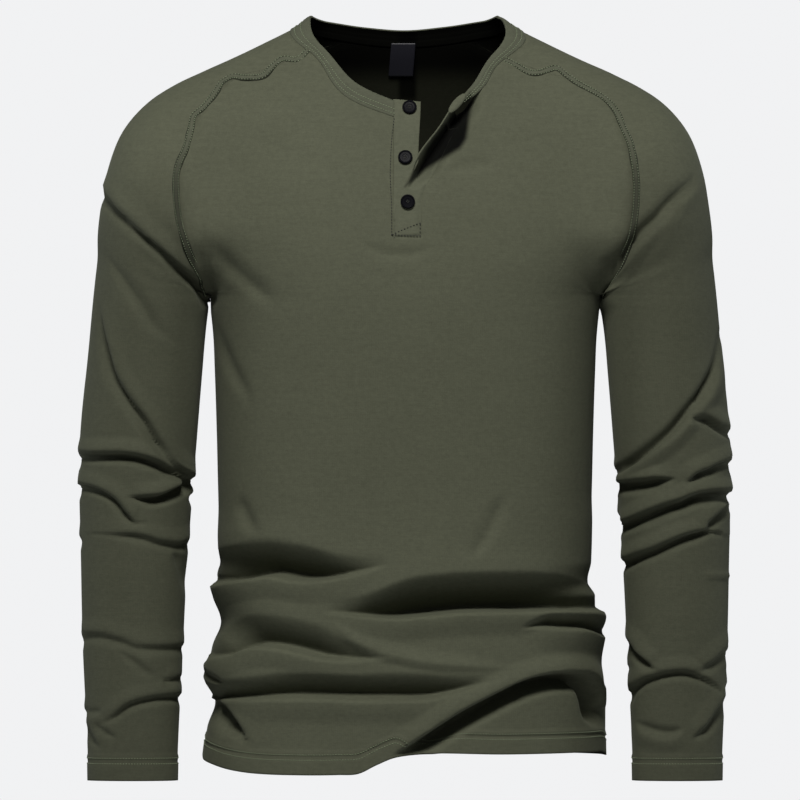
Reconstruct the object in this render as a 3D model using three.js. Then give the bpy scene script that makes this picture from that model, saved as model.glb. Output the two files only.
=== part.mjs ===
// A long-sleeved raglan henley shirt in jersey, filled out as when worn, with nobody in it.
// Millimetres, +Z up, the front faces -Y, and the wearer's left sleeve is on +X.
// The origin lies midway between the high points of the shoulders, where the wearer holds the shirt up.
import * as THREE from "three";

// Driving sizes
const WALL = 2;
const SEAM_GAP = 0.3;
const BINDING_PUFF = 1.1;
const ARMPIT_Z = -251;
const SLOT_BOTTOM_Z = -198;
const SLOT_LEFT_X = -10;
const SLOT_RIGHT_X = 14.4;
const LAP = 0.35;
const STAND_MARGIN = 2.4;
const BUTTON = { radius: 6.5, thick: 3.2, rim: 1.3, dish: 0.9, chamfer: 0.5, sides: 20 };
const LABEL = { topX: -1.4, footX: -3.9, width: 22.5, topZ: -19.4, footZ: -48.6, thick: 1 };
const SQUARENESS = 2.4;
const SEAM_CROWDING = 1.35;
const LEAN_FADE = 3;
const TURN = 2 * Math.PI;
const degrees = (angle) => (angle * Math.PI) / 180;

// Level by level, the body's half width and its depth before and behind the side line
const BODY = [
  { z: 40, half: 74, front: 36, back: 56 },
  { z: 0, half: 79, front: 46, back: 64 },
  { z: -30, half: 89, front: 58, back: 73 },
  { z: -60, half: 112, front: 72, back: 88 },
  { z: -95, half: 140, front: 88, back: 103 },
  { z: -150, half: 184, front: 106, back: 116 },
  { z: -205, half: 198, front: 116, back: 119 },
  { z: -251, half: 177, front: 120, back: 117 },
  { z: -308, half: 172, front: 118, back: 110 },
  { z: -410, half: 169, front: 112, back: 99 },
  { z: -490, half: 168, front: 112, back: 101 },
  { z: -545, half: 172, front: 114, back: 106 },
  { z: -600, half: 179, front: 116, back: 111 },
  { z: -660, half: 181, front: 116, back: 112 },
  { z: -720, half: 182, front: 116, back: 112 },
];

// From the neck over the shoulder to the cuff, the middle of the sleeve and its two half widths
const SLEEVE = [
  { x: 40, y: 4, z: -40, across: 38, deep: 38 },
  { x: 72, y: 4, z: -44, across: 42.5, deep: 42 },
  { x: 135, y: 2, z: -81, across: 50, deep: 52 },
  { x: 191, y: 0, z: -113, across: 54.5, deep: 59 },
  { x: 211.5, y: -6, z: -141, across: 55, deep: 64 },
  { x: 221, y: -9, z: -205, across: 54.5, deep: 66 },
  { x: 229, y: -9, z: -254, across: 52, deep: 63 },
  { x: 234, y: -8, z: -308, across: 52, deep: 60 },
  { x: 241, y: -12, z: -389, across: 52.5, deep: 54 },
  { x: 244, y: -18, z: -488, across: 48, deep: 46 },
  { x: 245, y: -26, z: -569, across: 45, deep: 38 },
  { x: 245, y: -32, z: -663, across: 40.5, deep: 29 },
  { x: 245, y: -35, z: -740, across: 40, deep: 27 },
];

// The raglan seams seen from the front, from the underarm up to the neck binding
const FRONT_RAGLAN = {
  right: [
    { x: 190, z: -224 },
    { x: 198, z: -200 },
    { x: 203, z: -172 },
    { x: 204, z: -142 },
    { x: 198, z: -117 },
    { x: 189, z: -90 },
    { x: 172, z: -71 },
    { x: 156, z: -55 },
    { x: 142, z: -52 },
    { x: 126, z: -49 },
    { x: 112, z: -39 },
    { x: 98, z: -38 },
  ],
  left: [
    { x: 192, z: -228 },
    { x: 200, z: -203 },
    { x: 205, z: -172 },
    { x: 206, z: -144 },
    { x: 201, z: -117 },
    { x: 190, z: -87 },
    { x: 176, z: -70 },
    { x: 157, z: -58 },
    { x: 141, z: -47 },
    { x: 125, z: -49 },
    { x: 113, z: -48 },
    { x: 101, z: -43 },
  ],
};
const BACK_RAGLAN = [
  { x: 191, z: -224 },
  { x: 198, z: -196 },
  { x: 198, z: -160 },
  { x: 190, z: -124 },
  { x: 170, z: -92 },
  { x: 140, z: -66 },
  { x: 108, z: -46 },
  { x: 82, z: -31 },
];

// The neck, from the placket round by the wearer's right, the back and the left to the open flap:
// the seam between binding and panels, and the free edge of the binding
const NECK_SEAM = [
  { x: -10, z: -89 },
  { x: -53, z: -70 },
  { x: -85.5, z: -29.5 },
  { turn: 178, z: -7 },
  { turn: 150, z: -14 },
  { turn: 120, z: -20 },
  { turn: 90, z: -22.5 },
  { turn: 60, z: -20 },
  { turn: 30, z: -14 },
  { turn: 2, z: -8.5 },
  { x: 89, z: -36.5 },
  { x: 71, z: -61 },
  { x: 55, z: -76 },
];
const NECK_EDGE = [
  { x: -10, z: -75.6 },
  { x: -45, z: -58.5 },
  { x: -75, z: -25 },
  { turn: 177, z: 0 },
  { turn: 150, z: -1.5 },
  { turn: 120, z: -6 },
  { turn: 90, z: -8.5 },
  { turn: 60, z: -5.5 },
  { turn: 30, z: -1 },
  { turn: 3, z: 0.5 },
  { x: 80, z: -31.5 },
  { x: 61, z: -60 },
  { x: 41, z: -82 },
];

// The hem seen from the front: its height, from the wearer's right to the left
const HEM = [
  { x: -182, z: -667 },
  { x: -165, z: -674 },
  { x: -129, z: -679 },
  { x: -39, z: -678 },
  { x: -18, z: -666 },
  { x: 13, z: -660 },
  { x: 91, z: -661 },
  { x: 182, z: -660 },
];
const BACK_HEM_Z = -664;

// The placket: the seam of the flap on the left front, and the flap's free edge, upwards from the slot's foot
const FLAP_SEAM = [
  { x: 14.4, z: -198 },
  { x: 14.4, z: -170 },
  { x: 18, z: -153 },
  { x: 26, z: -137 },
  { x: 37, z: -114 },
  { x: 47, z: -94 },
  { x: 55, z: -76 },
];
const FLAP_EDGE = [
  { x: -9.4, z: -197.6 },
  { x: -8.6, z: -178 },
  { x: -4, z: -160 },
  { x: 2, z: -146 },
  { x: 11, z: -125 },
  { x: 29, z: -100 },
  { x: 41, z: -82.4 },
];

// Largest folds: troughs have a depth above zero and ridges one below zero.
// start and end say how much of the depth is left at the two ends of the path.
const FOLDS = [
  { on: "body", face: "front", depth: 9, width: 10, start: 1, end: 0,
    path: [[-176, -503], [-155, -490], [-116, -484], [-64, -493], [-12, -492]] },
  { on: "body", face: "front", depth: 11, width: 12, start: 0, end: 0.8,
    path: [[-75, -532], [-13, -524], [39, -514], [116, -517], [172, -520]] },
  { on: "body", face: "front", depth: 7, width: 9, start: 1, end: 0,
    path: [[-176, -568], [-142, -553], [-103, -555], [-64, -565], [-15, -571]] },
  { on: "body", face: "front", depth: -6, width: 10, start: 0, end: 0,
    path: [[-76, -537], [-39, -555], [0, -571], [39, -579], [130, -581]] },
  { on: "body", face: "front", depth: 8, width: 10, start: 1, end: 0,
    path: [[-176, -612], [-116, -599], [-39, -592], [26, -593], [91, -594]] },
  { on: "body", face: "back", depth: 8, width: 12, start: 1, end: 0,
    path: [[-172, -512], [-110, -492], [-40, -500], [30, -512]] },
  { on: "body", face: "back", depth: 9, width: 12, start: 0, end: 0.8,
    path: [[-70, -545], [0, -528], [80, -516], [170, -524]] },
  { on: "body", face: "back", depth: 7, width: 11, start: 1, end: 0,
    path: [[-176, -590], [-100, -576], [-20, -584], [60, -600]] },
  { on: "flap", face: "front", depth: 15, width: 11, start: 0, end: 0.7,
    path: [[23, -152], [31, -136], [41, -120], [51, -104], [58, -86]] },
  { on: "flap", face: "front", depth: -7, width: 9, start: 0, end: 0.3,
    path: [[-2, -154], [2, -146], [11, -125], [29, -100], [44, -82]] },
  { on: "sleeve", face: "front", depth: 6, width: 9, start: 0, end: 1,
    path: [[-266, -308], [-250, -345], [-222, -379], [-192, -408]] },
  { on: "sleeve", face: "front", depth: 6, width: 8, start: 1, end: 1,
    path: [[-290, -395], [-235, -396], [-210, -408], [-190, -417]] },
  { on: "sleeve", face: "front", depth: 7, width: 9, start: 1, end: 0.6,
    path: [[-290, -425], [-266, -432], [-242, -441], [-191, -433]] },
  { on: "sleeve", face: "front", depth: 5, width: 9, start: 1, end: 1,
    path: [[-290, -553], [-253, -562], [-235, -570], [-200, -590]] },
  { on: "sleeve", face: "front", depth: 5, width: 8, start: 1, end: 1,
    path: [[-290, -630], [-258, -626], [-228, -612], [-200, -612]] },
  { on: "sleeve", face: "back", depth: 6, width: 10, start: 1, end: 1,
    path: [[-290, -398], [-248, -414], [-190, -402]] },
  { on: "sleeve", face: "back", depth: 7, width: 10, start: 1, end: 1,
    path: [[-290, -436], [-240, -452], [-190, -440]] },
  { on: "sleeve", face: "front", depth: 7, width: 9, start: 0, end: 1,
    path: [[278, -345], [248, -362], [214, -393], [196, -410]] },
  { on: "sleeve", face: "front", depth: -5, width: 10, start: 0, end: 0.5,
    path: [[279, -308], [256, -345], [226, -372], [196, -392]] },
  { on: "sleeve", face: "front", depth: 9, width: 10, start: 1, end: 1,
    path: [[195, -459], [208, -449], [252, -436], [292, -428]] },
  { on: "sleeve", face: "front", depth: 5, width: 8, start: 1, end: 0,
    path: [[199, -488], [233, -474], [275, -461]] },
  { on: "sleeve", face: "front", depth: 5, width: 8, start: 1, end: 1,
    path: [[199, -558], [213, -579], [259, -586], [286, -574]] },
  { on: "sleeve", face: "back", depth: 7, width: 10, start: 1, end: 1,
    path: [[190, -408], [242, -418], [292, -400]] },
  { on: "sleeve", face: "back", depth: 6, width: 10, start: 1, end: 1,
    path: [[190, -456], [246, -448], [292, -434]] },
];
const FACE_FADE = { from: -6, to: 22 };

// The overhang across the lower left front: below this line the hem part lies deeper
const OVERHANG = { depth: 24, width: 16, sideFade: 62,
  path: [[-14, -664], [26, -643], [65, -622], [104, -602], [130, -592], [155, -589], [184, -600]] };

// How finely each panel is divided
const GRID = { upper: 12, slot: 3, frontLeft: 11, slotWide: 2, frontRight: 11, back: 16, sleeve: 16 };
const BODY_ROWS = [-664, -654, -644, -634, -624, -614, -604, -594, -584, -574, -564, -554, -544, -534, -524, -514, -504,
  -494, -484, -472, -456, -436, -412, -384, -352, -318, -284];
const SLEEVE_ROWS = [-686, -676, -662, -648, -636, -624, -612, -598, -584, -572, -560, -546, -528, -508, -490, -478,
  -466, -456, -446, -436, -426, -416, -406, -396, -384, -370, -354, -336, -316, -294, -272];

const clamp = (value, low, high) => Math.min(high, Math.max(low, value));
const mix = (a, b, t) => a + (b - a) * t;
const smooth = (low, high, value) => {
  const t = clamp((value - low) / (high - low), 0, 1);
  return t * t * (3 - 2 * t);
};

// A smooth curve through rows of numbers, read at a place counted in rows
function along(rows, keys, place) {
  const last = rows.length - 1;
  const index = clamp(Math.floor(place), 0, last - 1);
  const t = clamp(place - index, 0, 1);
  const row = (i) => rows[clamp(i, 0, last)];
  const result = {};
  for (const key of keys) {
    const [a, b, c, d] = [row(index - 1)[key], row(index)[key], row(index + 1)[key], row(index + 2)[key]];
    const rise = (c - a) / 2;
    const fall = (d - b) / 2;
    result[key] = b + t * (rise + t * (3 * (c - b) - 2 * rise - fall + t * (2 * (b - c) + rise + fall)));
  }
  return result;
}

// The same curve read at a height, for tables whose z runs one way
function atHeight(rows, keys, z) {
  const down = rows[0].z > rows[rows.length - 1].z;
  let index = 0;
  while (index < rows.length - 2 && (down ? rows[index + 1].z > z : rows[index + 1].z < z)) index += 1;
  const t = clamp((z - rows[index].z) / (rows[index + 1].z - rows[index].z), 0, 1);
  return along(rows, keys, index + t);
}

// The filled-out form: a signed measure that is below zero inside the garment
const CENTRES = [];
const CENTRE_STEPS = 48;
for (let i = 0; i <= CENTRE_STEPS; i += 1) {
  CENTRES.push(along(SLEEVE, ["x", "y", "z", "across", "deep"], ((SLEEVE.length - 1) * i) / CENTRE_STEPS));
}

function bodyField(x, y, z) {
  const level = atHeight(BODY, ["half", "front", "back"], z);
  const depth = y < 0 ? level.front : level.back;
  const reach = (Math.abs(x / level.half) ** SQUARENESS + Math.abs(y / depth) ** SQUARENESS) ** (1 / SQUARENESS);
  return (reach - 1) * Math.min(level.half, depth);
}

function sleeveField(x, y, z) {
  let nearest = Infinity;
  for (let i = 0; i < CENTRE_STEPS; i += 1) {
    const a = CENTRES[i];
    const b = CENTRES[i + 1];
    const [dx, dy, dz] = [b.x - a.x, b.y - a.y, b.z - a.z];
    const t = clamp(((x - a.x) * dx + (y - a.y) * dy + (z - a.z) * dz) / (dx * dx + dy * dy + dz * dz), 0, 1);
    const across = mix(a.across, b.across, t);
    const deep = mix(a.deep, b.deep, t);
    const level = Math.hypot(x - a.x - t * dx, z - a.z - t * dz) / across;
    const side = (y - a.y - t * dy) / deep;
    nearest = Math.min(nearest, (Math.hypot(level, side) - 1) * Math.min(across, deep));
  }
  return nearest;
}

const BLEND = { neck: 30, yoke: 92, underarm: 8, from: -246, to: -195, neckFrom: -105, neckTo: -45 };
function wholeField(x, y, z) {
  const body = bodyField(x, y, z);
  const sleeve = sleeveField(Math.abs(x), y, z);
  const yoke = mix(BLEND.yoke, BLEND.neck, smooth(BLEND.neckFrom, BLEND.neckTo, z));
  const reach = mix(BLEND.underarm, yoke, smooth(BLEND.from, BLEND.to, z));
  const share = Math.max(reach - Math.abs(body - sleeve), 0) / reach;
  return Math.min(body, sleeve) - (share ** 3 * reach) / 6;
}

// Where a straight line from inside leaves the form
function leave(field, from, toward) {
  const aim = toward.clone().normalize();
  const value = (t) => field(from.x + aim.x * t, from.y + aim.y * t, from.z + aim.z * t);
  let near = 0;
  let far = 0;
  let now = value(0);
  while (now < 0 && far < 500) {
    near = far;
    far += clamp(-now * 0.7, 0.4, 9);
    now = value(far);
  }
  for (let i = 0; i < 22; i += 1) {
    const middle = (near + far) / 2;
    if (value(middle) < 0) near = middle;
    else far = middle;
  }
  return from.clone().addScaledVector(aim, far);
}

function outward(field, point) {
  const step = 0.5;
  const slope = (dx, dy, dz) =>
    field(point.x + dx, point.y + dy, point.z + dz) - field(point.x - dx, point.y - dy, point.z - dz);
  return new THREE.Vector3(slope(step, 0, 0), slope(0, step, 0), slope(0, 0, step)).normalize();
}

// How far a point lies from a path drawn on the front view, and how far along it is
function pathPlace(path, x, z) {
  let best = { distance: Infinity, along: 0, below: 0 };
  const spans = path.length - 1;
  for (let i = 0; i < spans; i += 1) {
    const [ax, az] = path[i];
    const [bx, bz] = path[i + 1];
    const size = (bx - ax) ** 2 + (bz - az) ** 2;
    const t = clamp(((x - ax) * (bx - ax) + (z - az) * (bz - az)) / size, 0, 1);
    const distance = Math.hypot(x - mix(ax, bx, t), z - mix(az, bz, t));
    if (distance < best.distance) best = { distance, along: (i + t) / spans, below: mix(az, bz, t) - z };
  }
  return best;
}

// The depth of all folds at a point, above zero where the cloth is pushed in
function foldDepth(point, pieces) {
  let depth = 0;
  for (const fold of FOLDS) {
    if (!pieces.includes(fold.on)) continue;
    const facing = fold.face === "front" ? -point.y : point.y;
    const shown = smooth(FACE_FADE.from, FACE_FADE.to, facing + (fold.on === "sleeve" ? 16 : 0));
    if (shown === 0) continue;
    const place = pathPlace(fold.path, point.x, point.z);
    const ends = mix(fold.start, 1, smooth(0, 0.3, place.along)) * mix(1, fold.end, smooth(0.7, 1, place.along));
    depth += fold.depth * ends * shown * Math.exp(-((place.distance / fold.width) ** 2));
  }
  if (pieces.includes("body") && point.z < -560 && point.x > OVERHANG.path[0][0]) {
    const place = pathPlace(OVERHANG.path, point.x, point.z);
    const under = smooth(0, OVERHANG.width, place.below);
    const begins = smooth(0, 0.2, place.along);
    depth += OVERHANG.depth * under * begins * smooth(0, OVERHANG.sideFade, -point.y);
  }
  return depth;
}

// A sheet is a list of points, each with the way out of the cloth, and the four-sided cells between them
class Sheet {
  constructor() {
    this.points = [];
    this.ways = [];
    this.cells = [];
  }
  add(point, way) {
    this.points.push(point);
    this.ways.push(way);
    return this.points.length - 1;
  }
  // A strip or panel from a function of column and row; skip leaves cells out, same gives a point's twin
  fill(columns, rows, at, skip = () => false, same = () => null) {
    const ids = [];
    for (let j = 0; j <= rows; j += 1) {
      ids.push([]);
      for (let i = 0; i <= columns; i += 1) {
        const twin = same(i, j);
        const made = twin === null ? at(i, j) : null;
        ids[j].push(twin === null ? (made ? this.add(made.point, made.way) : -1) : ids[j][twin]);
      }
    }
    for (let j = 0; j < rows; j += 1) {
      for (let i = 0; i < columns; i += 1) {
        if (!skip(i, j)) this.cells.push([ids[j][i], ids[j][i + 1], ids[j + 1][i + 1], ids[j + 1][i]]);
      }
    }
    return this;
  }
  edges() {
    const seen = new Map();
    for (const cell of this.cells) {
      cell.forEach((a, k) => {
        const b = cell[(k + 1) % 4];
        const key = a < b ? `${a} ${b}` : `${b} ${a}`;
        if (seen.has(key)) seen.get(key).count += 1;
        else seen.set(key, { a, b, count: 1 });
      });
    }
    return [...seen.values()];
  }
  // Draws the free edges in by half a seam gap, so that neighbours stay apart
  trim(by = SEAM_GAP / 2) {
    const edges = this.edges();
    const free = new Set(edges.filter((e) => e.count === 1).flatMap((e) => [e.a, e.b]));
    const pull = new Map();
    const toward = (from, to) => {
      const way = this.points[to].clone().sub(this.points[from]).normalize();
      pull.set(from, (pull.get(from) ?? new THREE.Vector3()).add(way));
    };
    for (const { a, b, count } of edges) {
      if (count === 1) continue;
      if (free.has(a)) toward(a, b);
      if (free.has(b)) toward(b, a);
    }
    for (const cell of this.cells) {
      cell.forEach((a, k) => {
        const opposite = cell[(k + 2) % 4];
        if (free.has(a) && !pull.has(a)) toward(a, opposite);
      });
    }
    for (const [id, way] of pull) this.points[id].addScaledVector(way.normalize(), by);
    return this;
  }
  // A closed wall: the sheet, a copy set inwards, and a rim along the free edges
  wall(thick = WALL) {
    const used = this.points.length;
    const positions = [];
    for (const p of this.points) positions.push(p.x, p.y, p.z);
    this.points.forEach((p, i) => positions.push(...p.clone().addScaledVector(this.ways[i], -thick).toArray()));
    let facing = 0;
    for (const [a, b, c, d] of this.cells) {
      const one = this.points[c].clone().sub(this.points[a]);
      const two = this.points[d].clone().sub(this.points[b]);
      facing += one.cross(two).dot(this.ways[a]);
    }
    const index = [];
    const quad = (a, b, c, d) => {
      if (facing > 0) index.push(a, b, c, a, c, d);
      else index.push(a, c, b, a, d, c);
    };
    for (const [a, b, c, d] of this.cells) {
      quad(a, b, c, d);
      quad(a + used, d + used, c + used, b + used);
    }
    for (const { a, b, count } of this.edges()) {
      const rim = [b, a, a + used, b + used];
      const start = this.points[b].z < this.points[a].z ? 0 : 1;
      if (count === 1) quad(...rim.map((id, k) => rim[(start + k) % 4]));
    }
    const geometry = new THREE.BufferGeometry();
    geometry.setAttribute("position", new THREE.Float32BufferAttribute(positions, 3));
    geometry.setIndex(index);
    const flat = geometry.toNonIndexed();
    flat.computeVertexNormals();
    return flat;
  }
}

// A patch spread between four border curves, each a function of 0 to 1 that gives a pair of numbers.
// fade says how fast each number forgets the left and right borders
function patch(bottom, top, left, right, fade = [1, 1]) {
  return (u, v) => {
    const [b, t, l, r] = [bottom(u), top(u), left(v), right(v)];
    const [b0, b1, t0, t1] = [bottom(0), bottom(1), top(0), top(1)];
    return [0, 1].map((k) => {
      const near = (1 - u) ** fade[k];
      const far = u ** fade[k];
      const sides = near * (l[k] - mix(b0[k], t0[k], v)) + far * (r[k] - mix(b1[k], t1[k], v));
      return mix(b[k], t[k], v) + sides;
    });
  };
}

// A point of the body, given by its turn about the upright axis and its height
function bodyPoint(turn, z, pieces = ["body"], lift = 0) {
  const field = z > ARMPIT_Z + 0.5 ? wholeField : bodyField;
  const point = leave(field, new THREE.Vector3(0, 0, z), new THREE.Vector3(Math.cos(turn), Math.sin(turn), 0));
  const way = outward(field, point);
  return { point: point.clone().addScaledVector(way, lift - foldDepth(point, pieces)), way };
}

// The turn of the point that shows at x and z from the front or the back
function turnAt(x, z, face = "front") {
  const aim = new THREE.Vector3(0, face === "front" ? -1 : 1, 0);
  const point = leave(wholeField, new THREE.Vector3(x, 0, z), aim);
  const turn = Math.atan2(point.y, point.x);
  return face === "front" && turn > 0 ? turn - TURN : turn;
}

// The two neck curves as turn and height. The turn falls from the placket at the front, by the wearer's right
// and the back, to the flap
function neckCurve(rows) {
  const made = rows.map((row) => {
    const turn = row.turn === undefined ? turnAt(row.x, row.z) : degrees(row.turn);
    return { turn: row.turn === undefined && row.x < 0 ? turn + TURN : turn, z: row.z };
  });
  return (place) => along(made, ["turn", "z"], place);
}
const neckSeam = neckCurve(NECK_SEAM);
const neckEdge = neckCurve(NECK_EDGE);
const NECK_ROWS = NECK_SEAM.length - 1;
const FRONT_MARK = { right: 2, left: 10 };
const BACK_MARK = { right: 4.55, left: 7.45 };

// The raglan seams as points in space, from the underarm to the neck, closer together at the underarm
function raglan(side, face) {
  const sign = side === "right" ? -1 : 1;
  const rows = face === "front" ? FRONT_RAGLAN[side] : BACK_RAGLAN;
  const mark = face === "front" ? FRONT_MARK[side] : BACK_MARK[side];
  const end = neckSeam(mark);
  const top = bodyPoint(end.turn, end.z, []).point;
  const under = atHeight(BODY, ["half"], ARMPIT_Z).half;
  const fine = 6;
  const spots = [{ x: under, z: ARMPIT_Z }, ...rows, { x: sign * top.x, z: top.z }];
  const aim = new THREE.Vector3(0, face === "front" ? -1 : 1, 0);
  const seen = [];
  for (let i = 0; i <= (spots.length - 1) * fine; i += 1) {
    const spot = along(spots, ["x", "z"], i / fine);
    seen.push(leave(wholeField, new THREE.Vector3(sign * spot.x, 0, spot.z), aim));
  }
  seen[0].set(sign * under, 0, ARMPIT_Z);
  seen[seen.length - 1].copy(top);
  const lengths = [0];
  for (let i = 1; i < seen.length; i += 1) lengths.push(lengths[i - 1] + seen[i].distanceTo(seen[i - 1]));
  const total = lengths[lengths.length - 1];
  const steps = [];
  for (let row = 0; row <= GRID.upper; row += 1) {
    const goal = total * (row / GRID.upper) ** SEAM_CROWDING;
    let i = 1;
    while (i < lengths.length - 1 && lengths[i] < goal) i += 1;
    steps.push(seen[i - 1].clone().lerp(seen[i], (goal - lengths[i - 1]) / (lengths[i] - lengths[i - 1])));
  }
  return steps;
}
const RAGLANS = {
  right: { front: raglan("right", "front"), back: raglan("right", "back") },
  left: { front: raglan("left", "front"), back: raglan("left", "back") },
};

// A border function that reads a list of pairs, or the same list of points as turn and height
const listed = (pairs) => (t) => {
  const place = t * (pairs.length - 1);
  const index = clamp(Math.floor(place), 0, pairs.length - 2);
  return [0, 1].map((k) => mix(pairs[index][k], pairs[index + 1][k], place - index));
};
const turned = (points, low) =>
  points.map((p) => {
    let turn = Math.atan2(p.y, p.x);
    while (turn < low) turn += TURN;
    return [turn, p.z];
  });

// Front panel: one piece with a slot for the placket, laid out by turn and height
function frontSheet() {
  const upper = GRID.upper;
  const columns = GRID.frontLeft + GRID.slotWide + GRID.frontRight;
  const slotStart = GRID.frontLeft;
  const slotEnd = slotStart + GRID.slotWide;
  const half = Math.PI;
  const up = (turn) => (turn < half - 0.5 ? turn + TURN : turn);
  const leftLine = (z) => up(turnAt(SLOT_LEFT_X, z));
  const rightLine = (z) => up(turnAt(SLOT_RIGHT_X, z));
  const base = [leftLine(ARMPIT_Z), rightLine(ARMPIT_Z)];
  const seamTop = neckSeam(0);
  const flapTop = neckSeam(NECK_ROWS);

  // The two sides of the slot, with the slot's foot on one row
  const slotSide = (line, above) => {
    const pairs = [];
    for (let row = 0; row <= upper; row += 1) {
      if (row <= GRID.slot) {
        const z = mix(ARMPIT_Z, SLOT_BOTTOM_Z, row / GRID.slot);
        pairs.push([line(z), z]);
      } else pairs.push(above((row - GRID.slot) / (upper - GRID.slot)));
    }
    return listed(pairs);
  };
  const leftSlot = slotSide(leftLine, (t) => {
    const z = mix(SLOT_BOTTOM_Z, seamTop.z, t);
    return [t === 1 ? up(seamTop.turn) : leftLine(z), z];
  });
  const rightSlot = slotSide(rightLine, (t) => {
    const spot = along(FLAP_SEAM, ["x", "z"], t * (FLAP_SEAM.length - 1));
    return [t === 1 ? up(flapTop.turn) : up(turnAt(spot.x, spot.z)), spot.z];
  });
  const neckTop = (from, to) => (u) => {
    const spot = neckSeam(mix(from, to, u));
    return [up(spot.turn), spot.z];
  };
  const level = (from, to) => (u) => [mix(from, to, u), ARMPIT_Z];
  const leftPatch = patch(
    level(half, base[0]),
    neckTop(FRONT_MARK.right, 0),
    listed(turned(RAGLANS.right.front, 1)),
    leftSlot,
  );
  const rightPatch = patch(
    level(base[1], TURN),
    neckTop(NECK_ROWS, FRONT_MARK.left),
    rightSlot,
    listed(turned(RAGLANS.left.front, 4)),
  );
  const place = (i, row) => {
    const v = row / upper;
    if (i <= slotStart) return leftPatch(i / slotStart, v);
    if (i >= slotEnd) return rightPatch((i - slotEnd) / GRID.frontRight, v);
    const u = (i - slotStart) / GRID.slotWide;
    return [0, 1].map((k) => mix(leftSlot(v)[k], rightSlot(v)[k], u));
  };
  const hemAt = (turn) => {
    const x = bodyPoint(turn, BACK_HEM_Z, []).point.x;
    let index = 0;
    while (index < HEM.length - 2 && HEM[index + 1].x < x) index += 1;
    const t = clamp((x - HEM[index].x) / (HEM[index + 1].x - HEM[index].x), 0, 1);
    return along(HEM, ["z"], index + t).z;
  };
  const lower = BODY_ROWS.length;
  const hemReach = 6;
  const sheet = new Sheet().fill(
    columns,
    lower + upper,
    (i, j) => {
      const edge = i === 0 || i === columns;
      if (j < lower) {
        const [turn] = place(i, 0);
        const drop = edge ? 0 : hemAt(turn) - BACK_HEM_Z;
        const z = BODY_ROWS[j] + drop * (1 - smooth(0, hemReach, j));
        return bodyPoint(edge ? (i === 0 ? half : TURN) : turn, z);
      }
      const row = j - lower;
      if (i > slotStart && i < slotEnd && row > GRID.slot) return null;
      const [turn, z] = place(i, row);
      return edge && row > 0
        ? seamPoint(RAGLANS[i === 0 ? "right" : "left"].front[row])
        : bodyPoint(turn, z, i >= slotEnd ? ["body", "flap"] : ["body"]);
    },
    (i, j) => i >= slotStart && i < slotEnd && j >= lower + GRID.slot,
  );
  return sheet;
}

// A point of a raglan seam, which the panels on both sides share
function seamPoint(point) {
  const way = outward(wholeField, point);
  return { point: point.clone().addScaledVector(way, -foldDepth(point, ["body", "sleeve"])), way };
}

// Back panel
function backSheet() {
  const upper = GRID.upper;
  const lower = BODY_ROWS.length;
  const neckTop = (u) => {
    const spot = neckSeam(mix(BACK_MARK.left, BACK_MARK.right, u));
    return [spot.turn, spot.z];
  };
  const place = patch(
    (u) => [Math.PI * u, ARMPIT_Z],
    neckTop,
    listed(turned(RAGLANS.left.back, -0.1)),
    listed(turned(RAGLANS.right.back, 1)),
  );
  return new Sheet().fill(GRID.back, lower + upper, (i, j) => {
    const edge = i === 0 || i === GRID.back;
    if (j < lower) return bodyPoint((Math.PI * i) / GRID.back, BODY_ROWS[j]);
    const row = j - lower;
    if (edge && row > 0) return seamPoint(RAGLANS[i === 0 ? "left" : "right"].back[row]);
    return bodyPoint(...place(i / GRID.back, row / upper));
  });
}

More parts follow.
